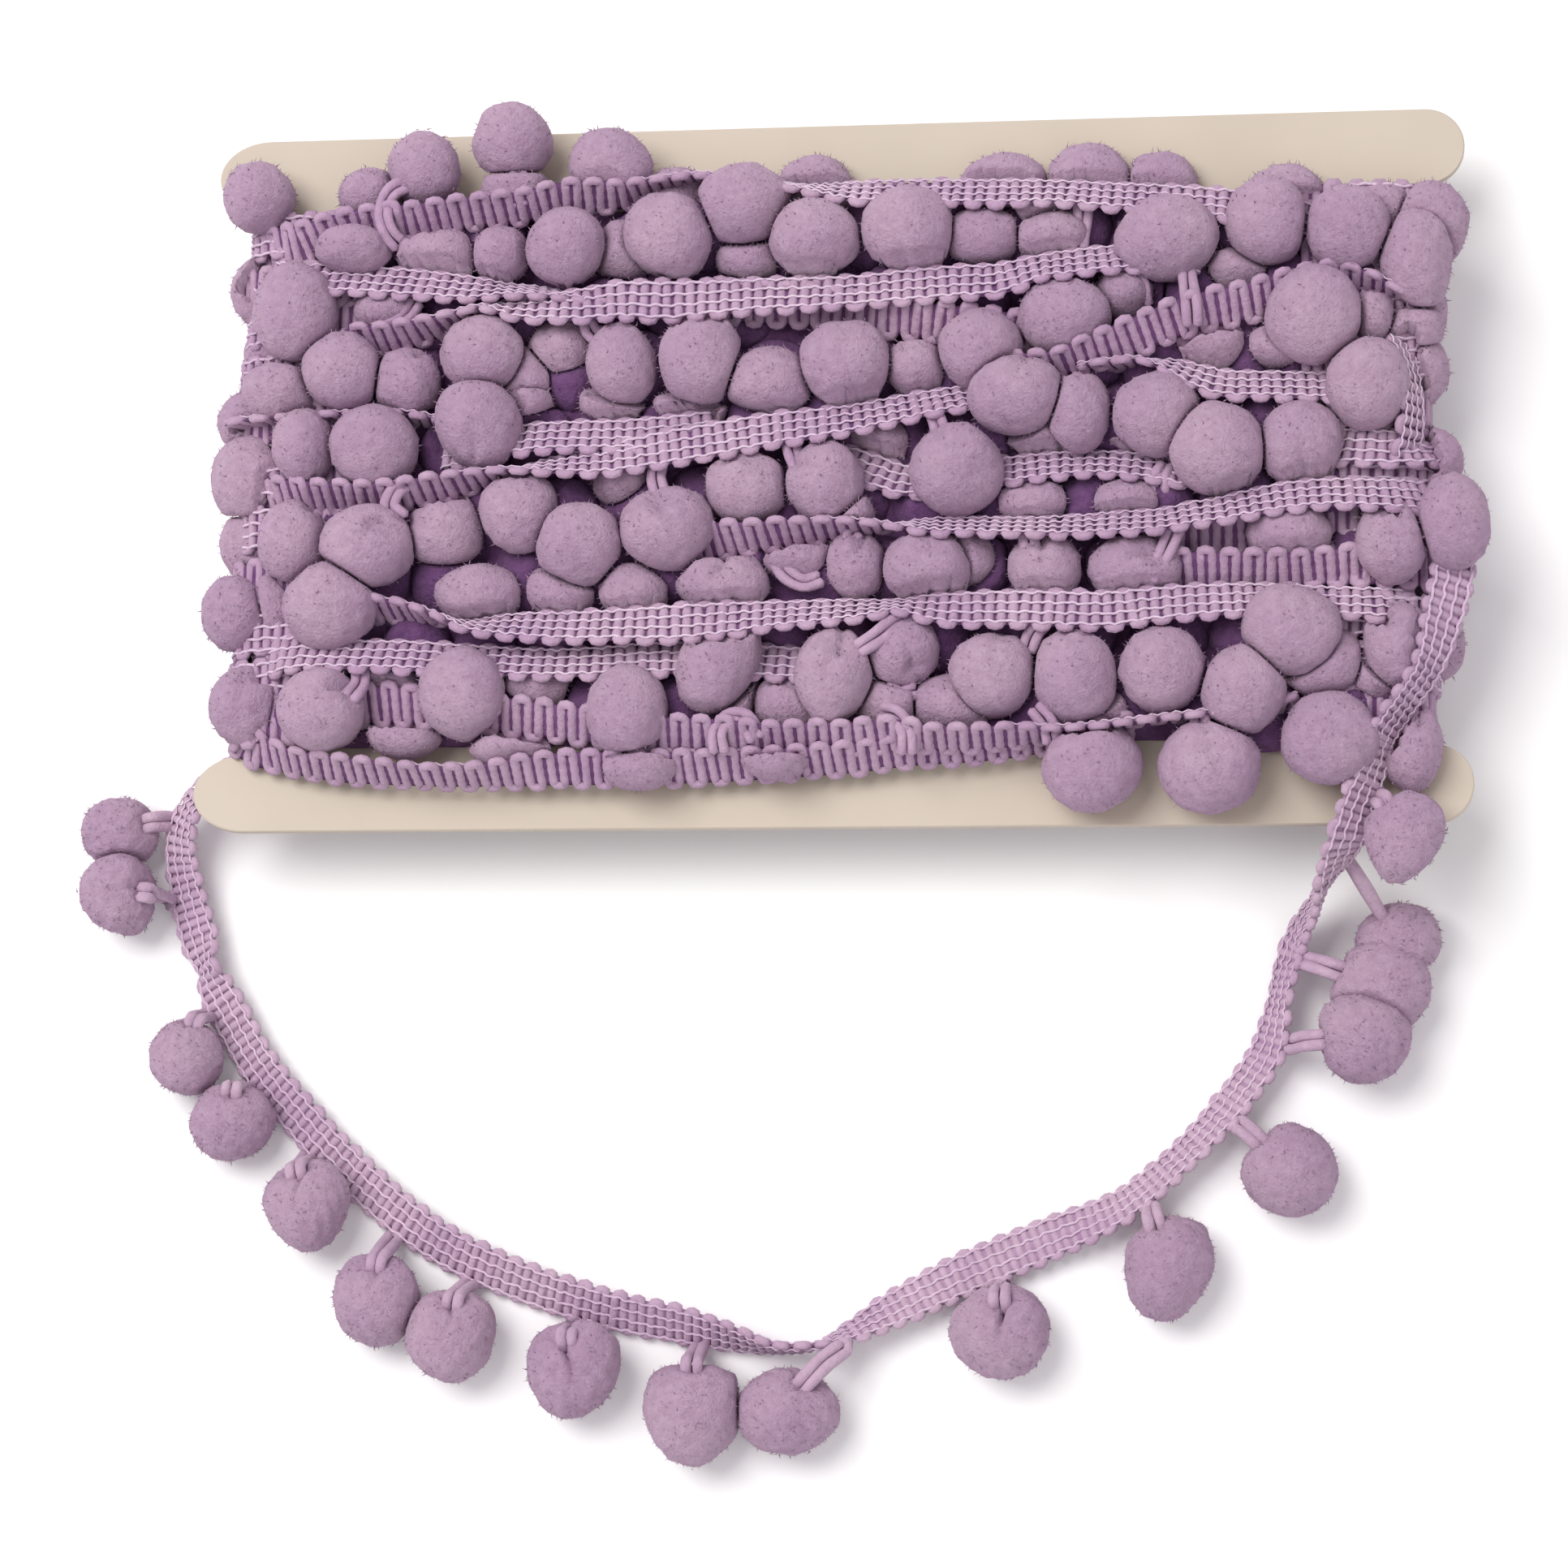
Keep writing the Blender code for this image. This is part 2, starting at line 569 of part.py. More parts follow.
def build_loop_pom(row, others, stations, material):
    """A pompom with its tie: a ball drawn out into a flat neck that ends at the braid, pressed flat where it meets others."""
    name, cx, cy, cz, r = row
    centre = Vector((cx, cy, cz))
    tie_x, tie_y = TIES[name]
    station = min(
        stations, key=lambda s: (s[0].x - tie_x) ** 2 + (s[0].y - tie_y) ** 2
    )
    towards = (centre - station[0]).normalized()
    tip = station[0] + towards * (reach_towards(station, towards) + GAP + 0.15)

    # Flat places: the surface below, the braid, and the next pompoms.
    flats = [(Vector((0, 0, 0)), Vector((0, 0, -1)))]
    if abs(cx) < CARD_L / 2 and cy > -CARD_H / 2 - r and cz > CARD_TOP:
        flats.append((Vector((0, 0, CARD_TOP + GAP)), Vector((0, 0, -1))))
    for other in others:
        if other[0] == name:
            continue
        there = Vector(other[1:4])
        apart = (there - centre).length
        if apart < r + other[4] + GAP:
            normal = (there - centre) / apart
            share = 0.5 + (r * r - other[4] * other[4]) / (2 * apart * apart)
            flats.append((centre + normal * (apart * share - GAP / 2 - 0.05), normal))
    near = [s for s in stations if (s[0] - centre).length < r + BRAID_W]
    for s in near:
        direction = (s[0] - centre).normalized()
        free = (s[0] - centre).length - reach_towards(s, direction) - GAP - 0.1
        if free < r:
            flats.append((centre + direction * free, direction))

    axis = (tip - centre).normalized()
    side = axis.cross(Vector((0, 0, 1))).normalized()
    rise = side.cross(axis).normalized()
    around = 10
    rings = (155, 128, 102, 76, 50, 28)  # degrees from the neck's side
    points = [centre - axis * r]
    for degrees in rings:
        a = math.radians(degrees)
        for k in range(around):
            b = 2 * math.pi * k / around
            spread = side * math.cos(b) + rise * math.sin(b)
            points.append(centre + axis * (r * math.cos(a)) + spread * (r * math.sin(a)))
    for i, p in enumerate(points):
        for _ in range(3):
            for at, normal in flats:
                over = (p - at).dot(normal)
                if over > 0:
                    p = p - normal * over
        points[i] = p
    # The neck starts inside the ball's last ring and runs straight to the braid, stopping short of it.
    for _ in range(30):
        end_ring = [
            tip
            + side * (TIE_W / 2 * math.cos(2 * math.pi * k / around))
            + rise * (TIE_T / 2 * math.sin(2 * math.pi * k / around))
            for k in range(around)
        ]
        if not any(inside_braid(p, near, GAP) for p in end_ring):
            break
        tip = tip - axis * 0.12
    neck_start = centre + axis * (r * math.cos(math.radians(24)))
    if (tip - centre).dot(axis) < (neck_start - centre).dot(axis) + 0.3:
        neck_start = tip - axis * 0.3
    for at in (neck_start, tip):
        for k in range(around):
            b = 2 * math.pi * k / around
            points.append(
                at
                + side * (TIE_W / 2 * math.cos(b))
                + rise * (TIE_T / 2 * math.sin(b))
            )
    points.append(tip + axis * 0.02)
    faces = [(0, 1 + (k + 1) % around, 1 + k) for k in range(around)]
    for i in range(len(rings) + 1):
        start = 1 + i * around
        for k in range(around):
            a, b = start + k, start + (k + 1) % around
            faces += [(a, b, b + around), (a, b + around, a + around)]
    start = 1 + (len(rings) + 1) * around
    end = len(points) - 1
    faces += [(start + k, start + (k + 1) % around, end) for k in range(around)]
    return make_object(name, points, faces, material, True)


def main():
    clear_scene()
    bpy.context.scene.unit_settings.system = "METRIC"
    bpy.context.scene.unit_settings.scale_length = 1.0
    board = make_material("card_board", (0.71, 0.63, 0.50), 0.75)
    yarn = make_material("trim_wound_yarn", (0.43, 0.28, 0.40), 0.95)
    braid = make_material("trim_braid_yarn", (0.50, 0.34, 0.47), 0.9)
    pile = make_material("pompom_pile", (0.44, 0.29, 0.41), 1.0)

    build_card(board)
    build_wound_trim(yarn)
    stations = loop_stations()
    build_loop_braid(stations, braid)
    for row in LOOP_POMS:
        build_loop_pom(row, LOOP_POMS, stations, pile)


main()
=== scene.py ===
"""Looks of the pompom fringe trim wound on a card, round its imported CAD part.

Lengths here are millimetres in the row frame: +X along the card, +Y across it away from the loose loop, +Z up.
What was traced in the photograph is given as (px, py, z): the place in the 1932 px frame and the height it lies at.
"""

import math

import bpy
import numpy as np
from mathutils import Matrix


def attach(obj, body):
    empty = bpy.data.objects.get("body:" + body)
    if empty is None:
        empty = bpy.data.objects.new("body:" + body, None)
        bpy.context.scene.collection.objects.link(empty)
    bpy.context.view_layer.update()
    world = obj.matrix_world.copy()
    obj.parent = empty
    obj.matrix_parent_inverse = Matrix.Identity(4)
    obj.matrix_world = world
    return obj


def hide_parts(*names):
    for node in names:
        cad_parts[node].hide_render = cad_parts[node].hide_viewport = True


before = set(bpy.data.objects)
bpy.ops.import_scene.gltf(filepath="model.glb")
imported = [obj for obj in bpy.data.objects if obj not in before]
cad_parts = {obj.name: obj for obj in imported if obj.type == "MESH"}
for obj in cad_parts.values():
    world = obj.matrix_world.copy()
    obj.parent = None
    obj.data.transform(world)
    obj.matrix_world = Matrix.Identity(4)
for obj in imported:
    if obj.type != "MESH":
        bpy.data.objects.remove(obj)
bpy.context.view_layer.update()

MM = 0.001
CARD_Z, CARD_TOP = 12.0, 13.2

# ---- the camera, fitted to the card's four corners -------------------------
CAM_AT = np.array([59.38, -135.73, 498.74])
CAM_AXES = np.array(  # columns: the camera's right, up and back
    [
        [0.99177, 0.00866, 0.12776],
        [0.01667, 0.98049, -0.19587],
        [-0.12696, 0.19639, 0.97227],
    ]
)
FOCAL_PX = 5250.0
FRAME_PX = 1932.0
PX_PER_MM = 10.25  # near the top of the wound mass
CAM_TILT = 11.4  # degrees that the camera leans towards -Y

# ---- the trim --------------------------------------------------------------
RIB_PITCH = 1.36  # the weft cord crosses the braid once in this length where it is wound
LOOP_PITCH = 1.13  # and where it lies loose
CORD_R = 0.52  # its half thickness
# The groove between crossings reads dark because the ground shows there, in a material of painted shade.
CORD_W = 0.63  # its half width: a fine dark groove is left between crossings
STRAIGHT = 2.08  # each crossing is straight to this distance from the middle line
BULGE = 0.42  # how far each turn stands out past that, which scallops the edge
CHAIN_ROWS = (-2.1, -0.7, 0.7, 2.1)  # lengthwise chain stitches on the front face
CHAIN_R = 0.11
CHAIN_W = 0.21
STRAND_R = 0.60  # one strand of a pompom's tie
SOFT_EDGE = 0.16  # how far the round edge of a pressed flat reaches

# Braid passes that show on the front: (px, py, z, roll). They run from left to right. Seen from the camera, the chain
# stitched face shows flat at roll 0 or 360, the ribbed face at 180, and at 270 the band stands on its lower edge.
BANDS = {
    "top": [
        (326, 312, 14.8, 192), (345, 306, 17.2, 195), (372, 302, 18.8, 200), (400, 292, 19.5, 208),
        (440, 280, 20.0, 216), (480, 274, 20.3, 218), (510, 272, 20.4, 222), (560, 264, 20.4, 225),
        (610, 259, 20.4, 226), (650, 254, 20.4, 226), (690, 245, 20.2, 222), (730, 242, 19.6, 226),
        (770, 240, 19.2, 238), (815, 228, 19.2, 258), (860, 219, 19.2, 270), (920, 222, 19.4, 272),
        (975, 231, 19.8, 278), (1020, 236, 20.2, 292), (1060, 238, 20.3, 304), (1110, 238, 20.3, 310),
        (1170, 238, 20.3, 311), (1240, 238, 20.3, 311), (1300, 238, 20.3, 308), (1360, 242, 20.2, 312),
        (1420, 245, 20.0, 314), (1470, 249, 19.7, 318), (1520, 254, 19.2, 322), (1570, 264, 18.5, 330),
        (1640, 276, 17.8, 335),
    ],
    "upper_left": [
        (322, 340, 14.2, 350), (335, 344, 16.8, 345), (360, 345, 18.8, 330), (400, 344, 19.7, 318),
        (460, 347, 20.1, 315), (520, 351, 20.3, 314), (580, 357, 20.3, 308), (620, 359, 20.1, 292),
        (660, 361, 19.7, 286), (700, 366, 19.1, 280), (760, 372, 18.6, 276),
    ],
    "upper": [
        (425, 424, 18.4, 228), (455, 419, 19.2, 230), (495, 414, 19.8, 234), (535, 403, 20.2, 246),
        (570, 390, 20.6, 260), (600, 379, 20.9, 276), (640, 381, 21.2, 305), (680, 379, 21.3, 316),
        (720, 376, 21.3, 326), (770, 370, 21.2, 337), (820, 371, 21.0, 344), (880, 368, 20.8, 332),
        (940, 364, 20.6, 326), (1000, 362, 20.6, 324), (1060, 359, 20.6, 321), (1120, 353, 20.6, 325),
        (1180, 348, 20.6, 325), (1230, 345, 20.6, 322), (1280, 331, 20.6, 310), (1320, 325, 20.6, 311),
        (1365, 320, 20.4, 311), (1420, 318, 19.4, 315), (1480, 322, 18.6, 320),
    ],
    "upper_under": [
        (860, 370, 18.4, 190), (940, 375, 18.5, 200), (1000, 378, 18.6, 205), (1080, 388, 18.9, 208),
        (1150, 396, 19.1, 210), (1220, 405, 18.6, 205), (1290, 418, 17.5, 200),
    ],
    "right_ribs": [
        (1230, 456, 18.6, 222), (1300, 448, 20.3, 236), (1340, 436, 20.8, 222), (1380, 421, 21.1, 214),
        (1420, 405, 21.2, 212), (1460, 389, 21.2, 210), (1500, 379, 21.1, 210), (1540, 371, 20.9, 212),
        (1580, 359, 20.2, 214), (1640, 345, 18.8, 222), (1690, 350, 18.8, 244), (1725, 363, 18.8, 262),
        (1758, 374, 17.6, 270),
    ],
    "right_flat": [
        (1330, 456, 18.4, 262), (1370, 450, 19.0, 262), (1405, 446, 19.5, 268), (1440, 452, 19.8, 290),
        (1475, 465, 19.8, 306), (1510, 474, 19.7, 311), (1560, 475, 19.5, 311), (1610, 476, 19.2, 312),
        (1660, 478, 18.4, 315), (1710, 480, 17.2, 318),
    ],
    "middle_under": [
        (545, 560, 17.0, 330), (600, 549, 18.6, 322), (650, 541, 19.5, 316), (700, 538, 19.8, 316),
        (760, 537, 19.7, 318), (820, 534, 19.3, 325), (880, 528, 18.6, 330),
    ],
    "middle": [
        (330, 612, 16.6, 200), (365, 612, 18.8, 215), (410, 612, 19.6, 228), (465, 612, 20.1, 230),
        (510, 606, 20.3, 233), (550, 599, 20.5, 237), (590, 591, 20.7, 248), (625, 582, 20.9, 266),
        (660, 577, 21.0, 284), (700, 572, 21.1, 302), (750, 566, 21.1, 318), (820, 553, 21.1, 328),
        (880, 543, 21.1, 328), (940, 532, 21.0, 324), (1000, 524, 20.9, 318), (1050, 517, 20.8, 314),
        (1100, 507, 20.7, 312), (1150, 497, 20.4, 308), (1200, 489, 19.6, 306), (1260, 480, 18.4, 306),
    ],
    "left_edge": [
        (296, 528, 14.6, 262), (320, 521, 17.4, 262), (370, 517, 18.2, 266), (440, 512, 18.2, 268),
        (500, 514, 18.2, 262), (545, 522, 17.8, 258),
    ],
    "shade": [
        (1000, 560, 16.8, 330), (1060, 576, 17.4, 322), (1120, 594, 17.7, 318), (1180, 588, 17.9, 318),
        (1240, 581, 18.1, 311), (1300, 574, 18.1, 308), (1360, 572, 18.1, 306), (1420, 577, 17.9, 310),
        (1480, 586, 17.2, 320),
    ],
    "lower_middle": [
        (850, 668, 18.4, 205), (895, 664, 19.4, 216), (935, 660, 19.9, 228), (980, 655, 20.2, 234),
        (1020, 652, 20.4, 243), (1060, 650, 20.6, 254), (1100, 649, 20.7, 270), (1140, 649, 20.7, 288),
        (1200, 649, 20.7, 293), (1260, 650, 20.7, 294), (1320, 649, 20.7, 298), (1380, 645, 20.7, 301),
        (1430, 642, 20.7, 301), (1470, 634, 20.8, 304), (1500, 630, 20.9, 306), (1540, 621, 21.0, 309),
        (1590, 612, 21.0, 312), (1640, 608, 20.9, 312), (1690, 609, 20.4, 314), (1730, 611, 19.4, 318),
        (1762, 616, 17.0, 325),
    ],
    "ribs_under_a": [
        (1400, 704, 17.4, 200), (1470, 702, 18.3, 210), (1540, 702, 18.5, 212), (1600, 703, 18.6, 212),
        (1660, 697, 18.5, 210), (1720, 690, 17.6, 205),
    ],
    "ribs_under_b": [
        (1390, 655, 17.0, 200), (1470, 660, 17.5, 205), (1540, 659, 17.5, 205), (1610, 657, 17.0, 205),
    ],
    "long_lower": [
        (420, 748, 17.4, 226), (465, 750, 18.8, 236), (505, 755, 19.5, 246), (545, 763, 20.1, 262),
        (580, 772, 20.5, 284), (620, 772, 20.8, 300), (660, 772, 20.9, 309), (700, 773, 21.0, 313),
        (760, 771, 21.0, 318), (830, 768, 21.0, 328), (890, 764, 21.0, 322), (940, 760, 21.0, 311),
        (1000, 756, 20.9, 304), (1050, 753, 20.9, 298), (1085, 750, 20.9, 289), (1110, 748, 20.9, 286),
        (1140, 750, 20.9, 306), (1180, 751, 20.9, 320), (1240, 750, 20.8, 324), (1300, 751, 20.8, 327),
        (1360, 752, 20.8, 329), (1420, 746, 20.7, 324), (1480, 741, 20.6, 319), (1530, 739, 20.4, 317),
        (1590, 740, 19.4, 317), (1640, 742, 18.9, 314), (1700, 744, 18.5, 316), (1748, 748, 16.6, 322),
    ],
    "left_lower": [
        (312, 818, 14.2, 350), (330, 812, 16.8, 342), (360, 806, 18.7, 328), (400, 806, 19.7, 318),
        (440, 808, 20.1, 314), (500, 809, 20.3, 314), (560, 813, 20.3, 314), (620, 816, 20.2, 312),
        (680, 818, 20.1, 312), (740, 816, 19.8, 314), (800, 812, 19.3, 318), (860, 812, 18.6, 320),
        (930, 815, 18.2, 320), (1000, 820, 17.6, 320),
    ],
    "bottom": [
        (430, 868, 17.0, 195), (490, 869, 18.2, 200), (560, 873, 18.8, 205), (620, 881, 19.2, 208),
        (680, 889, 19.5, 208), (740, 897, 19.8, 210), (800, 903, 20.0, 214), (850, 905, 20.1, 216),
        (900, 906, 20.2, 220), (950, 909, 20.2, 228), (1000, 907, 20.2, 226), (1050, 908, 20.2, 224),
        (1100, 904, 20.2, 222), (1150, 909, 20.2, 234), (1200, 909, 20.2, 236), (1260, 906, 20.0, 242),
        (1300, 902, 19.9, 258), (1340, 897, 19.9, 265), (1390, 891, 19.9, 266), (1440, 885, 19.8, 266),
        (1490, 880, 19.4, 266), (1540, 877, 18.6, 262), (1600, 868, 17.8, 240),
    ],
    "bottom_edge": [
        (292, 900, 13.8, 195), (312, 920, 15.6, 205), (340, 932, 16.8, 226), (370, 940, 17.3, 230),
        (420, 948, 17.6, 230), (470, 952, 17.8, 234), (520, 956, 18.0, 240), (580, 956, 18.0, 238),
        (640, 951, 18.0, 226), (700, 947, 18.0, 216), (760, 947, 17.8, 216), (840, 946, 17.6, 220),
        (900, 944, 17.6, 222), (1000, 938, 17.8, 224), (1060, 933, 17.8, 224), (1120, 926, 17.8, 226),
        (1200, 921, 17.8, 226), (1260, 914, 17.6, 226), (1310, 905, 17.2, 230), (1400, 895, 16.6, 235),
    ],
    "right_end": [
        (1630, 550, 17.0, 330), (1670, 550, 18.4, 330), (1710, 552, 18.6, 328), (1740, 553, 17.4, 325),
        (1760, 556, 14.6, 325),
    ],
}
# Passes that run down the right end, from the top: the second of them becomes the loose loop. Here roll 0 is the chain
# stitched face with the pompoms' edge to the right.
DOWN_BANDS = {
    "end_edge": [
        (1722, 420, 17.4, 300), (1733, 450, 18.4, 296), (1739, 490, 18.6, 296), (1738, 530, 18.2, 300),
        (1730, 570, 17.4, 300),
    ],
}

# Pompoms that show on the front: (px, py, half width px, half height px, z of the centre).
FRONT_POMS = [
    # over the card's top strip
    (320, 243, 46, 46, 17.7), (522, 208, 46, 46, 18.4), (458, 242, 42, 34, 17.2), (632, 176, 50, 49, 18.9),
    (634, 238, 44, 40, 17.2), (753, 206, 52, 48, 18.8), (834, 244, 42, 40, 15.0), (917, 251, 58, 51, 20.0),
    (1005, 240, 48, 46, 14.8), (1240, 236, 58, 47, 14.6), (1345, 228, 58, 50, 14.8),
    (1427, 234, 49, 46, 14.6), (1585, 252, 54, 50, 14.8), (1700, 262, 44, 40, 15.0), (1762, 279, 49, 52, 15.5),
    # second row
    (437, 308, 48, 30, 19.9), (540, 316, 50, 42, 18.4), (618, 314, 36, 36, 18.4), (698, 303, 51, 49, 20.0),
    (768, 312, 40, 38, 16.4), (826, 290, 58, 51, 20.0), (922, 322, 42, 28, 16.8), (1003, 291, 58, 49, 20.0),
    (1118, 281, 58, 52, 20.2), (1212, 293, 50, 36, 17.6), (1296, 293, 48, 32, 17.6), (1284, 258, 40, 30, 16.8),
    (1437, 294, 61, 51, 20.4), (1560, 270, 48, 56, 20.0), (1660, 281, 50, 51, 19.7), (1744, 317, 43, 64, 18.6),
    (1525, 335, 46, 26, 16.6),
    # third row
    (363, 388, 51, 63, 20.0), (421, 458, 50, 48, 20.0), (502, 470, 43, 43, 18.6), (480, 385, 40, 22, 17.4),
    (593, 437, 52, 50, 20.0), (590, 523, 52, 55, 20.5), (692, 432, 42, 38, 17.0), (650, 470, 40, 46, 16.4),
    (768, 450, 45, 52, 19.4), (862, 438, 51, 61, 20.3), (950, 468, 54, 43, 18.7), (1040, 446, 57, 53, 20.2),
    (1128, 453, 38, 36, 17.8), (1208, 430, 52, 51, 19.7), (1310, 388, 55, 46, 20.2), (1386, 360, 36, 34, 17.4),
    (1250, 486, 60, 50, 20.7), (1325, 508, 45, 51, 18.8), (1492, 424, 46, 30, 17.4), (1425, 512, 53, 53, 19.6),
    (1617, 388, 57, 61, 20.5), (1685, 475, 51, 56, 19.9), (1692, 388, 28, 36, 17.4), (1742, 408, 38, 34, 15.8),
    (1582, 428, 50, 26, 16.8),
    # fourth row
    (342, 484, 45, 38, 18.6), (374, 553, 40, 51, 19.4), (460, 550, 55, 54, 20.1), (756, 498, 42, 28, 16.8),
    (850, 508, 50, 28, 16.8), (652, 498, 34, 30, 16.6), (1180, 579, 57, 56, 20.5), (1500, 552, 58, 57, 20.5),
    (1602, 548, 50, 52, 19.4), (1290, 534, 54, 34, 16.4), (1400, 556, 46, 24, 16.0), (1085, 545, 48, 30, 16.0),
    # fifth row
    (360, 670, 44, 51, 18.8), (453, 672, 57, 51, 20.5), (550, 655, 50, 50, 17.2), (641, 634, 51, 48, 19.4),
    (712, 670, 53, 52, 20.0), (770, 595, 38, 32, 16.6), (825, 654, 58, 51, 20.0),
    (920, 601, 50, 46, 19.7), (1016, 595, 50, 51, 19.9), (985, 686, 48, 32, 16.8), (1055, 697, 37, 43, 18.4),
    (1143, 699, 54, 46, 19.3), (1272, 622, 46, 28, 16.8), (1388, 622, 48, 30, 16.8), (1590, 655, 52, 42, 18.0),
    (1715, 668, 42, 51, 19.2), (1286, 700, 45, 42, 18.2), (1398, 702, 55, 40, 18.2), (1052, 636, 26, 20, 18.6),
    # sixth row
    (404, 746, 57, 53, 20.4), (592, 731, 55, 37, 18.2), (690, 728, 42, 34, 17.6), (780, 728, 44, 34, 17.8),
    (888, 718, 58, 42, 18.2), (1595, 778, 60, 57, 20.5), (1724, 798, 46, 55, 17.8),
    (342, 745, 34, 50, 14.6), (1190, 690, 40, 34, 16.4),
    # seventh row
    (884, 815, 48, 66, 20.2), (1028, 834, 48, 58, 20.2), (1112, 804, 46, 42, 19.2), (1222, 829, 52, 53, 20.0),
    (1324, 834, 50, 57, 20.0), (1434, 823, 54, 53, 20.0), (1530, 849, 52, 53, 20.0), (1628, 815, 54, 46, 17.2),
    (970, 866, 46, 38, 17.0), (922, 862, 26, 30, 16.8), (1095, 868, 44, 32, 17.2), (1175, 868, 54, 36, 17.2),
    (1350, 876, 44, 26, 16.6), (660, 850, 48, 30, 16.4), (480, 845, 46, 26, 16.2),
    # eighth row and the card's bottom strip
    (395, 873, 56, 52, 20.0), (570, 855, 53, 55, 20.3), (771, 875, 49, 58, 20.2), (500, 906, 48, 32, 17.4),
    (627, 923, 50, 30, 17.4), (788, 936, 47, 37, 17.8), (955, 932, 41, 28, 17.7), (1638, 910, 57, 53, 18.7),
    (1346, 944, 57, 54, 18.5), (1491, 945, 61, 55, 18.7), (1739, 920, 36, 54, 15.4), (1690, 835, 40, 34, 15.8),
]
# Pompoms pushed out round the ends of the card, lower than the front ones.
END_POMS = [
    (331, 362, 47, 48, 13.2), (317, 522, 49, 44, 11.8), (312, 590, 50, 56, 14.4), (319, 672, 49, 50, 11.8),
    (291, 757, 44, 49, 15.0), (306, 870, 48, 50, 15.6), (345, 440, 44, 44, 12.0), (1738, 452, 47, 52, 13.4),
    (1752, 575, 49, 48, 13.4), (1791, 645, 44, 57, 19.6), (1750, 385, 34, 44, 12.6), (1766, 792, 40, 50, 10.2),
    (1760, 690, 46, 46, 9.4),
]
# Ties that show on the front, as the places they pass: (px, py, z).
FRONT_TIES = [
    [(504, 226, 20.4), (482, 238, 21.4), (472, 262, 22.0), (478, 286, 21.8), (492, 302, 20.6)],
    [(640, 252, 20.8), (640, 236, 20.6), (638, 214, 20.0)],
    [(1334, 250, 19.8), (1333, 275, 19.4), (1330, 305, 18.8)],
    [(1392, 338, 20.0), (1404, 352, 19.4), (1410, 376, 18.6)],
    [(1462, 330, 20.0), (1464, 352, 21.8), (1468, 376, 22.6), (1470, 400, 21.6)],
    [(810, 572, 20.8), (808, 590, 20.6), (816, 612, 21.0), (826, 632, 21.6)],
    [(975, 540, 20.6), (976, 556, 20.8), (984, 574, 21.6)],
    [(1264, 596, 18.2), (1276, 606, 18.6), (1282, 622, 18.4)],
    [(1436, 574, 18.2), (1428, 590, 18.6), (1430, 608, 18.4)],
    [(1266, 656, 20.6), (1270, 676, 20.8), (1278, 700, 20.8)],
    [(1452, 640, 20.8), (1442, 664, 20.9), (1430, 690, 20.9), (1416, 712, 20.6)],
    [(444, 822, 20.2), (442, 842, 20.8), (430, 862, 22.0)],
    [(1476, 876, 20.2), (1480, 896, 20.6), (1490, 918, 21.4)],
    [(1052, 656, 20.4), (1048, 668, 20.2), (1052, 684, 19.6)],
    [(1284, 768, 20.4), (1272, 784, 20.4), (1264, 800, 20.6)],
    [(958, 690, 18.8), (970, 708, 19.2), (990, 718, 19.0), (1010, 712, 18.6)],
    [(724, 396, 20.2), (730, 410, 19.8), (748, 420, 19.2)],
    [(446, 396, 19.4), (470, 404, 19.8), (500, 390, 19.9), (512, 372, 19.8)],
    [(886, 926, 20.4), (884, 902, 21.2), (898, 884, 21.3), (918, 886, 21.2), (932, 910, 20.6)],
    [(1118, 928, 20.4), (1116, 900, 21.2), (1104, 882, 21.2), (1086, 878, 20.4)],
    [(1296, 914, 20.4), (1290, 890, 20.8), (1276, 872, 20.6)],
    [(496, 640, 21.2), (480, 626, 21.2), (486, 606, 21.6), (500, 594, 21.0)],
    [(1150, 496, 20.9), (1152, 510, 21.0), (1158, 530, 21.4)],
    [(1122, 756, 21.2), (1102, 768, 22.2), (1080, 786, 23.0), (1058, 800, 23.0)],
    [(1092, 846, 19.6), (1108, 856, 19.4), (1128, 850, 19.4)],
]

# The braid that comes down the right end, past the last turns, and becomes the loose loop: (px, py, z, roll) again.
TO_LOOP = [
    (1786, 632, 14.6, -24), (1790, 662, 16.6, -22), (1791, 700, 18.0, -22), (1783, 740, 18.8, -24),
    (1774, 772, 19.1, -36), (1766, 800, 19.3, -46), (1752, 832, 19.4, -58), (1730, 864, 19.2, -62),
]
# And how its far end goes on under the card, to the turns at the back: (x, y, z, roll).
FROM_LOOP = [(-70.4, -32.4, 7.2, -60), (-65.5, -30.4, 7.6, -62), (-58.0, -29.2, 7.7, -60), (-48.0, -28.6, 7.6, -60)]

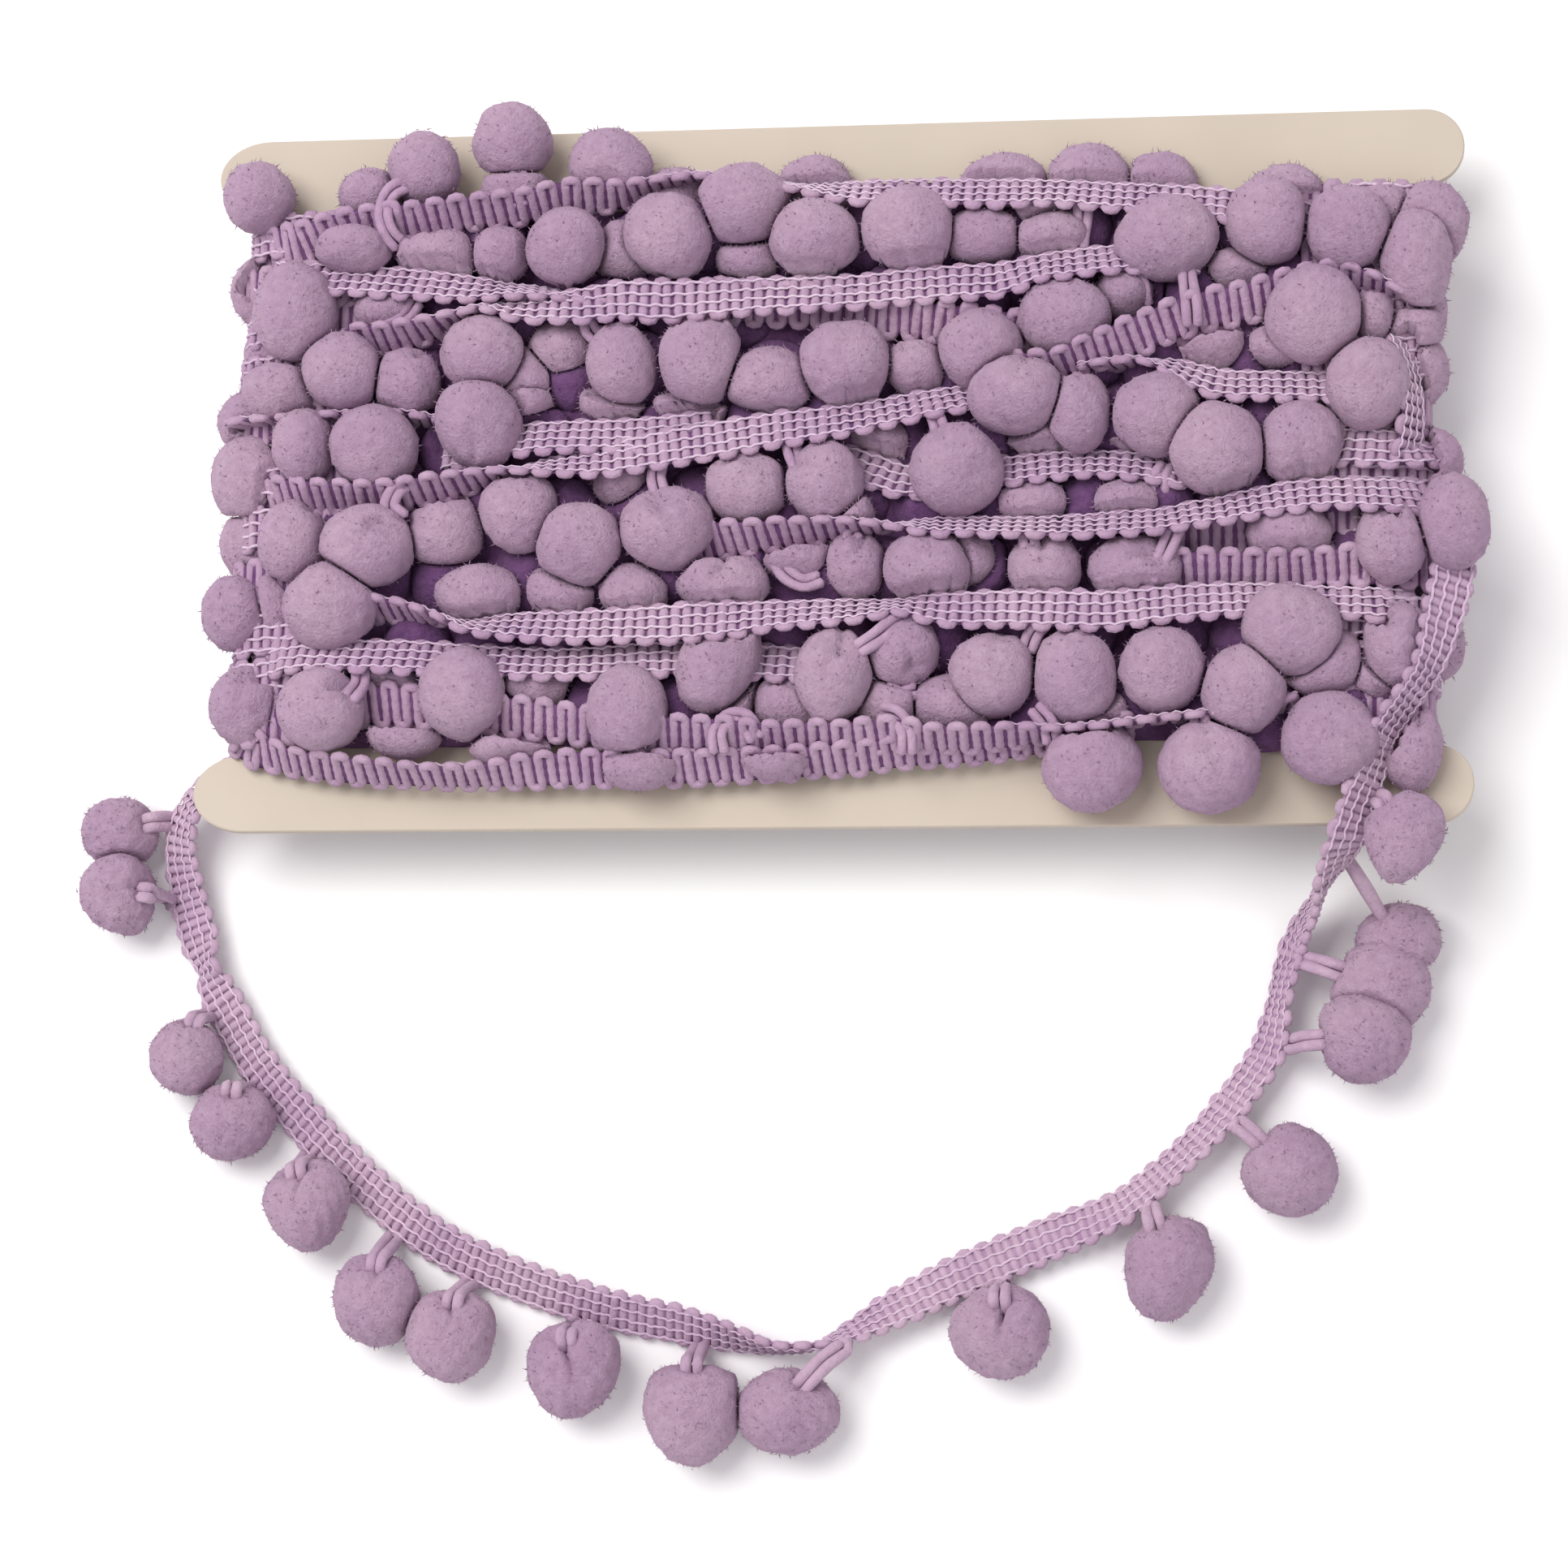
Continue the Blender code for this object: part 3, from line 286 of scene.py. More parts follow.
# The loose loop, as the part has it: (x, y, z, roll), roll 0 being flat with the pompoms' edge outwards.
LOOP = [
    (64.9, -34.1, 18.9, -60), (63.9, -37.4, 18.3, -56), (62.1, -41.8, 17.7, -46), (60.9, -45.4, 17.1, -44),
    (59.4, -48.3, 13.6, -68), (57.6, -51.2, 8.6, -108), (55.2, -54.8, 4.8, -122), (53.9, -58.4, 3.8, -122),
    (53.0, -62.5, 3.6, -120), (51.6, -68.1, 2.9, -140), (48.5, -72.8, 2.7, -142), (44.8, -77.3, 2.8, -138),
    (40.3, -81.8, 2.9, -134), (34.2, -86.6, 2.7, -142), (25.2, -90.4, 1.8, -165), (16.1, -94.3, 1.8, -166),
    (8.0, -98.5, 2.5, -146), (3.3, -101.1, 3.2, -120), (-0.8, -102.7, 3.9, -94), (-5.4, -102.9, 3.9, -86),
    (-10.4, -101.8, 3.4, -62), (-16.3, -100.4, 2.8, -44), (-24.9, -98.7, 2.5, -36), (-35.0, -95.7, 2.2, -30),
    (-45.9, -90.9, 2.0, -26), (-55.7, -83.6, 1.8, -20), (-63.2, -76.3, 1.8, -20), (-69.1, -69.5, 2.0, -22),
    (-74.2, -61.0, 2.3, -26), (-75.6, -57.8, 2.5, -56), (-76.9, -54.1, 2.6, -22), (-78.7, -47.7, 3.2, -32), (-79.2, -43.2, 4.4, -36),
    (-78.3, -39.6, 5.6, -42), (-76.4, -36.9, 6.3, -46), (-74.2, -34.9, 6.6, -50),
]
# Its pompoms: place, half sizes in the photo's plane, the turn of the longer one, how much it narrows along that
# axis, how deep its crease is, where its tie leaves the braid, and how high on the pompom the tie goes in (degrees).
LOOP_POMS = [
    # name, x, y, z, rx, ry, turn, taper, crease, tie_x, tie_y, lift
    ("pompom_01", 67.2, -45.9, 18.2, 4.2, 5.2, -16, -0.24, 0.00, 63.4, -40.4, 10),
    ("pompom_02", 66.7, -55.4, 4.8, 5.0, 4.4, 18, 0.00, 0.05, 59.4, -48.6, 30),
    ("pompom_03", 64.4, -60.9, 6.0, 5.6, 5.5, 0, 0.00, 0.00, 54.6, -57.0, 10),
    ("pompom_04", 62.5, -67.2, 7.3, 5.5, 5.2, -10, -0.08, 0.00, 52.2, -66.6, 5),
    ("pompom_05", 54.1, -82.2, 5.3, 5.5, 5.5, 0, 0.05, 0.05, 47.0, -75.6, 10),
    ("pompom_06", 40.1, -93.5, 5.2, 5.0, 6.1, -14, -0.06, 0.05, 36.6, -85.0, 15),
    ("pompom_07", 21.2, -101.1, 5.3, 5.8, 5.4, 14, -0.10, 0.36, 19.6, -92.8, 48),
    ("pompom_08", -4.1, -110.2, 5.1, 5.8, 5.0, 6, 0.00, 0.08, 1.6, -101.8, 35),
    ("pompom_09", -14.8, -110.7, 5.6, 5.8, 6.1, -4, -0.24, 0.00, -14.8, -100.8, 15),
    ("pompom_10", -29.1, -105.8, 5.3, 5.5, 6.0, -10, -0.10, 0.36, -28.6, -97.8, 50),
    ("pompom_11", -43.7, -101.9, 5.2, 5.3, 5.5, 0, -0.10, 0.14, -41.4, -93.2, 40),
    ("pompom_12", -52.8, -97.7, 5.1, 5.2, 5.4, 0, 0.02, 0.10, -50.6, -87.8, 38),
    ("pompom_13", -61.8, -86.6, 5.0, 5.2, 5.5, 8, -0.16, 0.14, -61.0, -78.6, 42),
    ("pompom_14", -71.3, -76.7, 4.8, 5.2, 4.6, 0, -0.04, 0.06, -68.4, -70.4, 40),
    ("pompom_15", -77.3, -68.9, 4.6, 4.3, 4.7, 0, 0.00, 0.05, -73.6, -62.4, 15),
    ("pompom_16", -86.2, -49.3, 5.8, 4.5, 5.2, 22, -0.14, 0.12, -78.4, -49.2, 30),
    ("pompom_17", -87.0, -41.5, 4.4, 4.6, 4.4, 0, 0.00, 0.00, -79.0, -41.2, 20),
]

# The back and the ends, which the photograph hides: the turns at an even pitch, and rows of pompoms below them.
TURNS = [
    # y at the right end, y at the left end, which face is outwards, how far it stands out at the ends
    (30.2, 29.6, 1, 3.2), (24.0, 23.2, -1, 3.8), (17.6, 18.4, 1, 3.3), (11.6, 12.0, 1, 3.9), (5.2, 5.8, -1, 3.4),
    (-1.2, -0.6, 1, 3.9), (-7.4, -7.0, 1, 3.2), (-13.6, -13.4, -1, 3.8), (-19.6, -19.9, 1, 3.4),
    (-25.4, -25.8, 1, 3.9), (-30.6, -30.9, -1, 3.3),
]
BACK_POM_ROWS = [
    # y, first x, pitch, count
    (29.6, -61.0, 13.6, 10), (19.4, -66.8, 13.4, 11), (9.4, -60.4, 13.4, 10), (-0.6, -66.6, 13.3, 11),
    (-10.6, -60.0, 13.3, 10), (-20.4, -66.4, 13.3, 11), (-29.8, -60.6, 13.5, 10),
]


# ---- small helpers ---------------------------------------------------------
def unit(v):
    return v / np.maximum(np.linalg.norm(v, axis=-1, keepdims=True), 1e-9)


def at(px, py, z):
    """The place at height z that the camera sees at (px, py)."""
    ray = CAM_AXES @ np.array([(px - FRAME_PX / 2) / FOCAL_PX, (FRAME_PX / 2 - py) / FOCAL_PX, -1.0])
    return CAM_AT + ray * (z - CAM_AT[2]) / ray[2]


def spline(points, step):
    """Points about a step apart on the smooth curve through the given rows; every column is smoothed alike."""
    p = np.asarray(points, float)
    q = np.vstack([2 * p[0] - p[1], p, 2 * p[-1] - p[-2]])
    t = np.linspace(0, 1, 12, endpoint=False)[:, None]
    fine = []
    for i in range(len(p) - 1):
        a, b, c, d = q[i : i + 4]
        fine.append(
            0.5 * (2 * b + (c - a) * t + (2 * a - 5 * b + 4 * c - d) * t**2 + (3 * b - a - 3 * c + d) * t**3)
        )
    fine = np.vstack(fine + [p[-1:]])
    along = np.concatenate([[0], np.cumsum(np.linalg.norm(np.diff(fine[:, :3], axis=0), axis=1))])
    count = max(3, int(round(along[-1] / step)) + 1)
    wanted = np.linspace(0, along[-1], count)
    return np.stack([np.interp(wanted, along, fine[:, k]) for k in range(p.shape[1])], axis=1)


class Heap:
    """Points and faces that become one mesh."""

    def __init__(self):
        self.points, self.tris, self.quads, self.total = [], [], [], 0

    def add(self, points, tris=None, quads=None, slot=0):
        # Nothing goes below the surface that the object lies on.
        points = np.array(points, float)
        points[:, 2] = np.maximum(points[:, 2], 0.04)
        if tris is not None and len(tris):
            self.tris.append((np.asarray(tris) + self.total, slot))
        if quads is not None and len(quads):
            self.quads.append((np.asarray(quads) + self.total, slot))
        self.points.append(np.asarray(points, float))
        self.total += len(points)

    def make(self, name, materials):
        mesh = bpy.data.meshes.new(name)
        points = np.vstack(self.points) * MM
        groups = [(t, 3, s) for t, s in self.tris] + [(q, 4, s) for q, s in self.quads]
        corners = np.concatenate([g.reshape(-1) for g, _, _ in groups]).astype(np.int32)
        sizes = np.concatenate([np.full(len(g), n) for g, n, _ in groups])
        slots = np.concatenate([np.full(len(g), s) for g, _, s in groups]).astype(np.int32)
        mesh.vertices.add(len(points))
        mesh.vertices.foreach_set("co", points.astype(np.float32).ravel())
        mesh.loops.add(len(corners))
        mesh.loops.foreach_set("vertex_index", corners)
        mesh.polygons.add(len(sizes))
        starts = np.concatenate([[0], np.cumsum(sizes)[:-1]]).astype(np.int32)
        mesh.polygons.foreach_set("loop_start", starts)
        mesh.polygons.foreach_set("material_index", slots)
        mesh.polygons.foreach_set("use_smooth", np.ones(len(sizes), bool))
        mesh.update(calc_edges=True)
        for material in materials:
            mesh.materials.append(material)
        made = bpy.data.objects.new(name, mesh)
        bpy.context.scene.collection.objects.link(made)
        return made


def tube(heap, path, normal, rn, rb, sides, slot=0):
    """A closed tube along path. rn is its half size along the normal and rb across it. Six sides stand with a flat
    one on top, which makes the cord wide and low."""
    path = np.asarray(path, float)
    n = len(path)
    t = unit(np.gradient(path, axis=0))
    normal = np.broadcast_to(normal, path.shape)
    nn = unit(normal - (normal * t).sum(1, keepdims=True) * t)
    b = np.cross(t, nn)
    rn, rb = np.broadcast_to(rn, n), np.broadcast_to(rb, n)
    a = 2 * np.pi * (np.arange(sides) + (0.5 if sides == 6 else 0.0)) / sides
    ring = (
        path[:, None]
        + nn[:, None] * (rn[:, None] * np.cos(a))[..., None]
        + b[:, None] * (rb[:, None] * np.sin(a))[..., None]
    ).reshape(-1, 3)
    i, k = np.meshgrid(np.arange(n - 1), np.arange(sides), indexing="ij")
    k2 = (k + 1) % sides
    quads = np.stack([i * sides + k, i * sides + k2, (i + 1) * sides + k2, (i + 1) * sides + k], -1).reshape(-1, 4)
    last = (n - 1) * sides
    start, end = n * sides, n * sides + 1
    ks = np.arange(sides)
    tips = np.vstack([path[0] - t[0] * rn[0] * 0.6, path[-1] + t[-1] * rn[-1] * 0.6])
    caps = np.vstack(
        [
            np.stack([np.full(sides, start), (ks + 1) % sides, ks], 1),
            np.stack([np.full(sides, end), last + ks, last + (ks + 1) % sides], 1),
        ]
    )
    heap.add(np.vstack([ring, tips]), caps, quads, slot)


# ---- the braid -------------------------------------------------------------
def ribbon(points, across):
    """The band's middle line with its directions, from points and rough across vectors."""
    t = unit(np.gradient(points, axis=0))
    a = unit(across - (across * t).sum(1, keepdims=True) * t)
    s = np.concatenate([[0], np.cumsum(np.linalg.norm(np.diff(points, axis=0), axis=1))])
    return {"P": points, "T": t, "A": a, "F": np.cross(t, a), "S": s}


def rolled(rows, step=0.5):
    """A ribbon from rows of (x, y, z, roll)."""
    fine = spline(rows, step)
    points, roll = fine[:, :3], np.radians(fine[:, 3])[:, None]
    t = unit(np.gradient(points, axis=0))
    out = unit(np.cross((0.0, 0.0, 1.0), t))
    up = np.cross(t, out)
    return ribbon(points, out * np.cos(roll) + up * np.sin(roll))


def seen_band(rows, lean=CAM_TILT):
    return rolled([(*at(px, py, z), roll + lean) for px, py, z, roll in rows])


def place(band, s, a, h):
    """World points at length s, a across and h out of the front face. Returns them with the face direction."""
    p = np.stack([np.interp(s, band["S"], band["P"][:, k]) for k in range(3)], 1)
    across = unit(np.stack([np.interp(s, band["S"], band["A"][:, k]) for k in range(3)], 1))
    face = unit(np.stack([np.interp(s, band["S"], band["F"][:, k]) for k in range(3)], 1))
    return p + across * a[:, None] + face * h[:, None], face


def braid(heap, band, seed, sides=6, samples=7, turn=(40, 90, 140), chains=(), pinch=0.13, ground=0.12, ribs=RIB_PITCH, wide=CORD_W):
    """The weft cord, laid across and back, and the chain stitches that hold it. chains has 1 for those on the front
    face and -1 for those on the back."""
    rng = np.random.default_rng(seed)
    length = band["S"][-1]
    count = max(2, int(round(length / ribs)))
    pitch = length / count
    cross = np.linspace(-STRAIGHT, STRAIGHT, samples)
    s_all, a_all, r_all, h_all = [], [], [], []
    wobble = rng.normal(0, 0.05, count)
    reach = rng.normal(0, 0.07, count)
    size = 1 + rng.normal(0, 0.035, count)
    for k in range(count):
        way = 1 if k % 2 == 0 else -1
        sk = (k + 0.5) * pitch
        skew = rng.normal(0, 0.05)
        s_all.append(sk + wobble[k] * 0.6 + skew * cross / STRAIGHT)
        a_all.append(way * cross)
        row = np.exp(-(((np.abs(np.abs(cross) - 1.4) - 0.7) / 0.3) ** 2))  # 1 under a stitch
        r_all.append(size[k] * (1.03 - pinch * row))
        h_all.append(np.full(samples, wobble[k]))
        if k < count - 1:
            th = np.radians(turn)
            s_all.append(sk + pitch / 2 * (1 - np.cos(th)))
            a_all.append(way * (STRAIGHT + (BULGE + reach[k]) * np.sin(th)))
            r_all.append(np.full(len(th), 1.0 * size[k]))
            h_all.append(np.full(len(th), wobble[k] - 0.05))
    s, a, r, h = map(np.concatenate, (s_all, a_all, r_all, h_all))
    s = np.clip(s, 0.01, length - 0.01)
    points, face = place(band, s, a, h)
    tube(heap, points, face, CORD_R * r, wide * r, sides, 0)
    # The ground that the cord is woven on, which closes the grooves. Its material (slot 2) is darker than the yarn:
    # painted shade for the shade down in the grooves.
    s = np.linspace(0.15, length - 0.15, max(4, int(length / 0.9)))
    middle, face = place(band, s, np.zeros(len(s)), np.full(len(s), -0.5 * ground))
    tube(heap, middle, face, ground, 2.35, 8, 2)
    # The chain stitches are left out where their face is turned down and away.
    runs = []
    for side in chains:
        shown = side * band["F"][:, 2] > -0.35
        edges = np.flatnonzero(np.diff(np.concatenate([[0], shown.astype(int), [0]])))
        runs += [(side, first, stop) for first, stop in zip(edges[::2], edges[1::2])]
    for side, first, stop in runs:
        low, high = max(0.2, band["S"][first]), min(length - 0.2, band["S"][stop - 1])
        n = int((high - low) / pitch * 4)
        if n < 8:
            continue
        for row in CHAIN_ROWS:
            s = np.linspace(low, high, n)
            lift = 0.5 * (1 - np.cos(2 * np.pi * s / pitch))
            h = 0.31 + 0.24 * lift + rng.normal(0, 0.015, n)
            a = row + 0.10 * np.sin(np.pi * s / pitch + row) + rng.normal(0, 0.025, n)
            points, face = place(band, s, a, side * h)
            # Slot 1 is the stitches' lighter copy of the yarn: a painted highlight where they stand up and catch the
            # light.
            tube(heap, points, face, CHAIN_R, CHAIN_W, 4, 1)


def strands(heap, points, seed, radius=STRAND_R, sides=7, slot=0, spread=0.6, single=False):
    """A pompom's tie: two soft strands side by side along the points."""
    rng = np.random.default_rng(seed)
    path = spline(points, 0.55)
    t = unit(np.gradient(path, axis=0))
    side = np.cross(t, (0.0, 0.0, 1.0))
    short = np.linalg.norm(side, axis=1) < 0.2
    side[short] = (1.0, 0.0, 0.0)
    side = unit(side)
    up = unit(np.cross(side, t))
    n = len(path)
    for which in (0.0,) if single else (-1.0, 1.0):
        apart = which * spread * (1 + 0.12 * np.sin(np.linspace(0, 5, n) + rng.uniform(0, 6)))
        lift = 0.18 * np.sin(np.linspace(0, 4, n) + rng.uniform(0, 6))
        r = radius * (1 + 0.05 * np.sin(np.linspace(0, 9, n) + rng.uniform(0, 6)))
        tube(heap, path + side * apart[:, None] + up * lift[:, None], up, r, r, sides, slot)


# ---- the pompoms -----------------------------------------------------------
def icosphere(level):
    import bmesh

    work = bmesh.new()
    bmesh.ops.create_icosphere(work, subdivisions=level, radius=1.0)
    work.verts.ensure_lookup_table()
    points = np.array([v.co[:] for v in work.verts])
    faces = np.array([[v.index for v in f.verts] for f in work.faces])
    work.free()
    return unit(points), faces


SPHERES = {level: icosphere(level) for level in (3, 4, 5)}

# Front pompoms whose clefts show: place, the cleft's direction from the middle (degrees anticlockwise from the
# right), how high on the pompom the tie goes in, and the depths of cleft and dimple.
CLEFTS = {
    (825, 654): (104, 55, 0.20, 0.22), (453, 672): (42, 55, 0.13, 0.14), (888, 718): (70, 60, 0.20, 0.16),
    (1143, 699): (80, 62, 0.12, 0.10), (1016, 595): (150, 45, 0.12, 0.12), (1028, 834): (75, 50, 0.22, 0.22),
    (395, 873): (28, 30, 0.16, 0.20), (1491, 945): (95, 68, 0.16, 0.12), (590, 523): (-95, 50, 0.12, 0.12),
    (1250, 486): (70, 40, 0.12, 0.10), (1602, 548): (-80, 45, 0.10, 0.10), (1286, 700): (100, 50, 0.20, 0.20),
    (1398, 702): (40, 55, 0.14, 0.16), (1180, 579): (110, 40, 0.08, 0.10), (1222, 829): (70, 30, 0.08, 0.10),
    (1112, 804): (-60, 40, 0.14, 0.20), (1739, 920): (75, 40, 0.14, 0.20), (306, 870): (70, 55, 0.16, 0.14),
    (920, 601): (60, 40, 0.06, 0.10), (712, 670): (-70, 40, 0.08, 0.08), (502, 470): (60, 40, 0.10, 0.12),
    (1425, 512): (130, 45, 0.06, 0.08), (1055, 697): (70, 50, 0.14, 0.14),
}
# Front pompoms that aren't round: place, the turn of the longer axis and how much they narrow downwards.
SHAPES = {
    (522, 208): (24, 0.06), (826, 290): (-38, 0.10), (950, 468): (0, 0.22), (1003, 291): (0, 0.10),
    (868, 438): (0, 0.0), (641, 634): (10, -0.12), (550, 655): (20, 0.0), (884, 815): (-24, -0.06),
    (1028, 834): (-12, -0.10), (768, 450): (14, 0.0), (502, 470): (-30, 0.0), (1112, 804): (30, 0.0),
    (1744, 317): (8, -0.06), (1715, 668): (0, 0.0), (1222, 829): (0, -0.06), (1143, 699): (0, 0.06),
    (590, 523): (0, -0.04), (1437, 294): (12, 0.02), (1250, 486): (-10, -0.08),
}


class Pom:
    def __init__(self, centre, radii, seed, turn=0.0, taper=0.0, crease=0.0, entry=None, dimple=0.2):
        self.c = np.asarray(centre, float)
        self.r = np.asarray(radii, float)
        self.turn, self.taper, self.crease, self.dimple = turn, taper, crease, dimple
        self.entry = None if entry is None else unit(np.asarray(entry, float))
        self.seed = seed
        self.flats = []
        rng = np.random.default_rng(seed)
        self.waves = [
            (unit(rng.normal(size=3)) * rng.uniform(lo, hi), rng.uniform(0, 6.28), amp)
            for lo, hi, amp, n in ((1.5, 3.2, 0.024, 4), (4, 8, 0.007, 7), (12, 22, 0.0042, 14))
            for _ in range(n)
        ]

    def radius_towards(self, d):
        return 1.0 / math.sqrt(float(((np.asarray(d) / self.r) ** 2).sum()))

    def surface(self, d, fine=1.0):
        """Points of the surface in the directions d, before anything presses on it."""
        f = np.ones(len(d))
        for k, phase, amp in self.waves:
            f += amp * fine * np.cos(d @ k + phase)
        local = d * self.r
        if self.taper:
            v = d[:, 1]
            local[:, 0] *= 1 + self.taper * (-v)
            local[:, 2] *= 1 + 0.6 * self.taper * (-v)
        ct, st = math.cos(math.radians(self.turn)), math.sin(math.radians(self.turn))
        turned = local @ np.array([[ct, st, 0], [-st, ct, 0], [0, 0, 1]])
        if self.entry is not None:
            world = unit(turned)
            near = np.arccos(np.clip(world @ self.entry, -1, 1))
            f -= self.dimple * np.exp(-((near / 0.36) ** 2))
            if self.crease:
                side = unit(np.cross(self.entry, (0.05, 0.1, 1.0)))
                off = world @ side
                off = off + 0.10 * np.sin(4.0 * near + self.seed)
                f -= self.crease * np.exp(-((off / 0.06) ** 2)) * np.exp(-((near / 0.85) ** 4))
        return self.c + turned * f[:, None]

    def pressed(self, p):
        """The points held behind the flats, with a round edge where each flat starts."""
        for _ in range(2):
            for point, normal in self.flats:
                over = (p - point) @ normal
                p = p - normal * (SOFT_EDGE * np.logaddexp(0.0, over / SOFT_EDGE) * 0.97)[:, None]
        return p


def press_neighbours(poms, gap=0.08):
    """Each pompom is flattened where it meets another: both stop at one plane between them."""
    for i, one in enumerate(poms):
        for other in poms[i + 1 :]:
            d = other.c - one.c
            apart = np.linalg.norm(d)
            if apart > one.r.max() + other.r.max():
                continue
            n = d / apart
            r1, r2 = one.radius_towards(n), other.radius_towards(-n)
            if apart > r1 + r2:
                continue
            share = 0.5 + (r1 * r1 - r2 * r2) / (2 * apart * apart)
            share = min(0.80, max(0.20, share))
            one.flats.append((one.c + n * (apart * share - gap / 2), n))
            other.flats.append((one.c + n * (apart * share + gap / 2), -n))


def press_bands(p, centre, bands, clearance=0.75):
    """What lies under a braid is pressed down by it."""
    for band in bands:
        near = np.linalg.norm(band["P"][:, :2] - centre[:2], axis=1) < 9.5
        for i in np.nonzero(near)[0][::2]:
            c, t, a = band["P"][i], band["T"][i], band["A"][i]
            if c[2] <= centre[2] + 0.4:
                continue
            off = p - c
            flat_t = unit(np.array([t[0], t[1], 0.0]))
            flat_a = np.array([-flat_t[1], flat_t[0], 0.0])
            wide = 3.0 * abs(float(a @ flat_a)) + 0.5
            slope = a[2] / (a @ flat_a) if abs(a @ flat_a) > 0.3 else 0.0
            inside = (np.abs(off @ flat_t) < 0.75) & (np.abs(off @ flat_a) < wide)
            top = c[2] + slope * (off @ flat_a) - clearance
            p[:, 2] = np.where(inside & (p[:, 2] > top), top, p[:, 2])
    return p


def add_pom(heap, pom, level, bands=(), floor=0.05, fuzz=0, fuzz_above=-2.0, slot=0, reach=(0.22, 0.46)):
    d, faces = SPHERES[level]
    p = pom.surface(d)
    rng = np.random.default_rng(pom.seed + 5)
    p = p + (p - pom.c) * rng.normal(0, 0.004, len(p))[:, None]
    p = pom.pressed(p)
    if len(bands):
        p = press_bands(p, pom.c, bands)
    p[:, 2] = np.maximum(p[:, 2], floor + 0.02 * rng.random(len(p)))
    heap.add(p, faces, slot=slot)
    if not fuzz:
        return
    # Short ends of pile that stand out of the surface, each a closed spike.
    pick = rng.choice(len(p), size=min(fuzz, len(p)), replace=False)
    root = p[pick] + rng.normal(0, 0.12, (len(pick), 3))
    out = unit(d[pick] + rng.normal(0, 0.45, (len(pick), 3)))
    keep = (out[:, 2] > fuzz_above) & (root[:, 2] > floor + 0.5)
    root, out = root[keep], out[keep]
    n = len(root)
    if not n:
        return
    side = unit(np.cross(out, rng.normal(size=(n, 3))))
    other = np.cross(out, side)
    long = rng.uniform(*reach, n)[:, None]
    wide = rng.uniform(0.06, 0.11, n)[:, None]
    base = root - out * 0.25
    corners = [base + side * wide * math.cos(k) + other * wide * math.sin(k) for k in (0, 2.094, 4.189)]
    spikes = np.stack(corners + [root + out * long], 1).reshape(-1, 3)
    i = 4 * np.arange(n)[:, None]
    tris = np.concatenate([i + q for q in ([0, 1, 3], [1, 2, 3], [2, 0, 3], [0, 2, 1])])
    heap.add(spikes, tris, slot=slot)


# ---- materials -------------------------------------------------------------
def fibre(name, low, high, patch, grain, strength, depth, sheen, sheen_tint, roughness=0.95, soft=None):
    """A yarn or pile: two close shades in patches, and a fine grain that is bump."""
    m = bpy.data.materials.new(name)
    m.use_nodes = True
    nodes, links = m.node_tree.nodes, m.node_tree.links
    shader = nodes["Principled BSDF"]
    shader.inputs["Roughness"].default_value = roughness
    shader.inputs["Specular IOR Level"].default_value = 0.15
    shader.inputs["Sheen Weight"].default_value = sheen
    shader.inputs["Sheen Roughness"].default_value = 0.55
    shader.inputs["Sheen Tint"].default_value = (*sheen_tint, 1.0)
    coords = nodes.new("ShaderNodeTexCoord")
    shade = nodes.new("ShaderNodeTexNoise")
    shade.inputs["Scale"].default_value = patch
    shade.inputs["Detail"].default_value = 5.0
    shade.inputs["Roughness"].default_value = 0.65
    links.new(coords.outputs["Object"], shade.inputs["Vector"])
    ramp = nodes.new("ShaderNodeValToRGB")
    ramp.color_ramp.elements[0].position = 0.36
    ramp.color_ramp.elements[1].position = 0.64
    ramp.color_ramp.elements[0].color = (*low, 1.0)
    ramp.color_ramp.elements[1].color = (*high, 1.0)
    links.new(shade.outputs["Fac"], ramp.inputs["Fac"])
    slow = nodes.new("ShaderNodeTexNoise")
    slow.inputs["Scale"].default_value = 75.0
    slow.inputs["Detail"].default_value = 1.0
    links.new(coords.outputs["Object"], slow.inputs["Vector"])
    tone = nodes.new("ShaderNodeValToRGB")
    tone.color_ramp.elements[0].position = 0.38
    tone.color_ramp.elements[1].position = 0.62
    tone.color_ramp.elements[0].color = (0.90, 0.86, 0.93, 1.0)
    tone.color_ramp.elements[1].color = (1.0, 1.0, 1.0, 1.0)
    links.new(slow.outputs["Fac"], tone.inputs["Fac"])
    mixed = nodes.new("ShaderNodeMix")
    mixed.data_type = "RGBA"
    mixed.blend_type = "MULTIPLY"
    mixed.inputs[0].default_value = 1.0
    links.new(ramp.outputs["Color"], mixed.inputs[6])
    links.new(tone.outputs["Color"], mixed.inputs[7])
    links.new(mixed.outputs[2], shader.inputs["Base Color"])
    fine = nodes.new("ShaderNodeTexNoise")
    fine.inputs["Scale"].default_value = grain
    fine.inputs["Detail"].default_value = 4.0
    fine.inputs["Roughness"].default_value = 0.7
    links.new(coords.outputs["Object"], fine.inputs["Vector"])
    bump = nodes.new("ShaderNodeBump")
    bump.inputs["Strength"].default_value = strength
    bump.inputs["Distance"].default_value = depth
    links.new(fine.outputs["Fac"], bump.inputs["Height"])
    links.new(bump.outputs["Normal"], shader.inputs["Normal"])
    return m


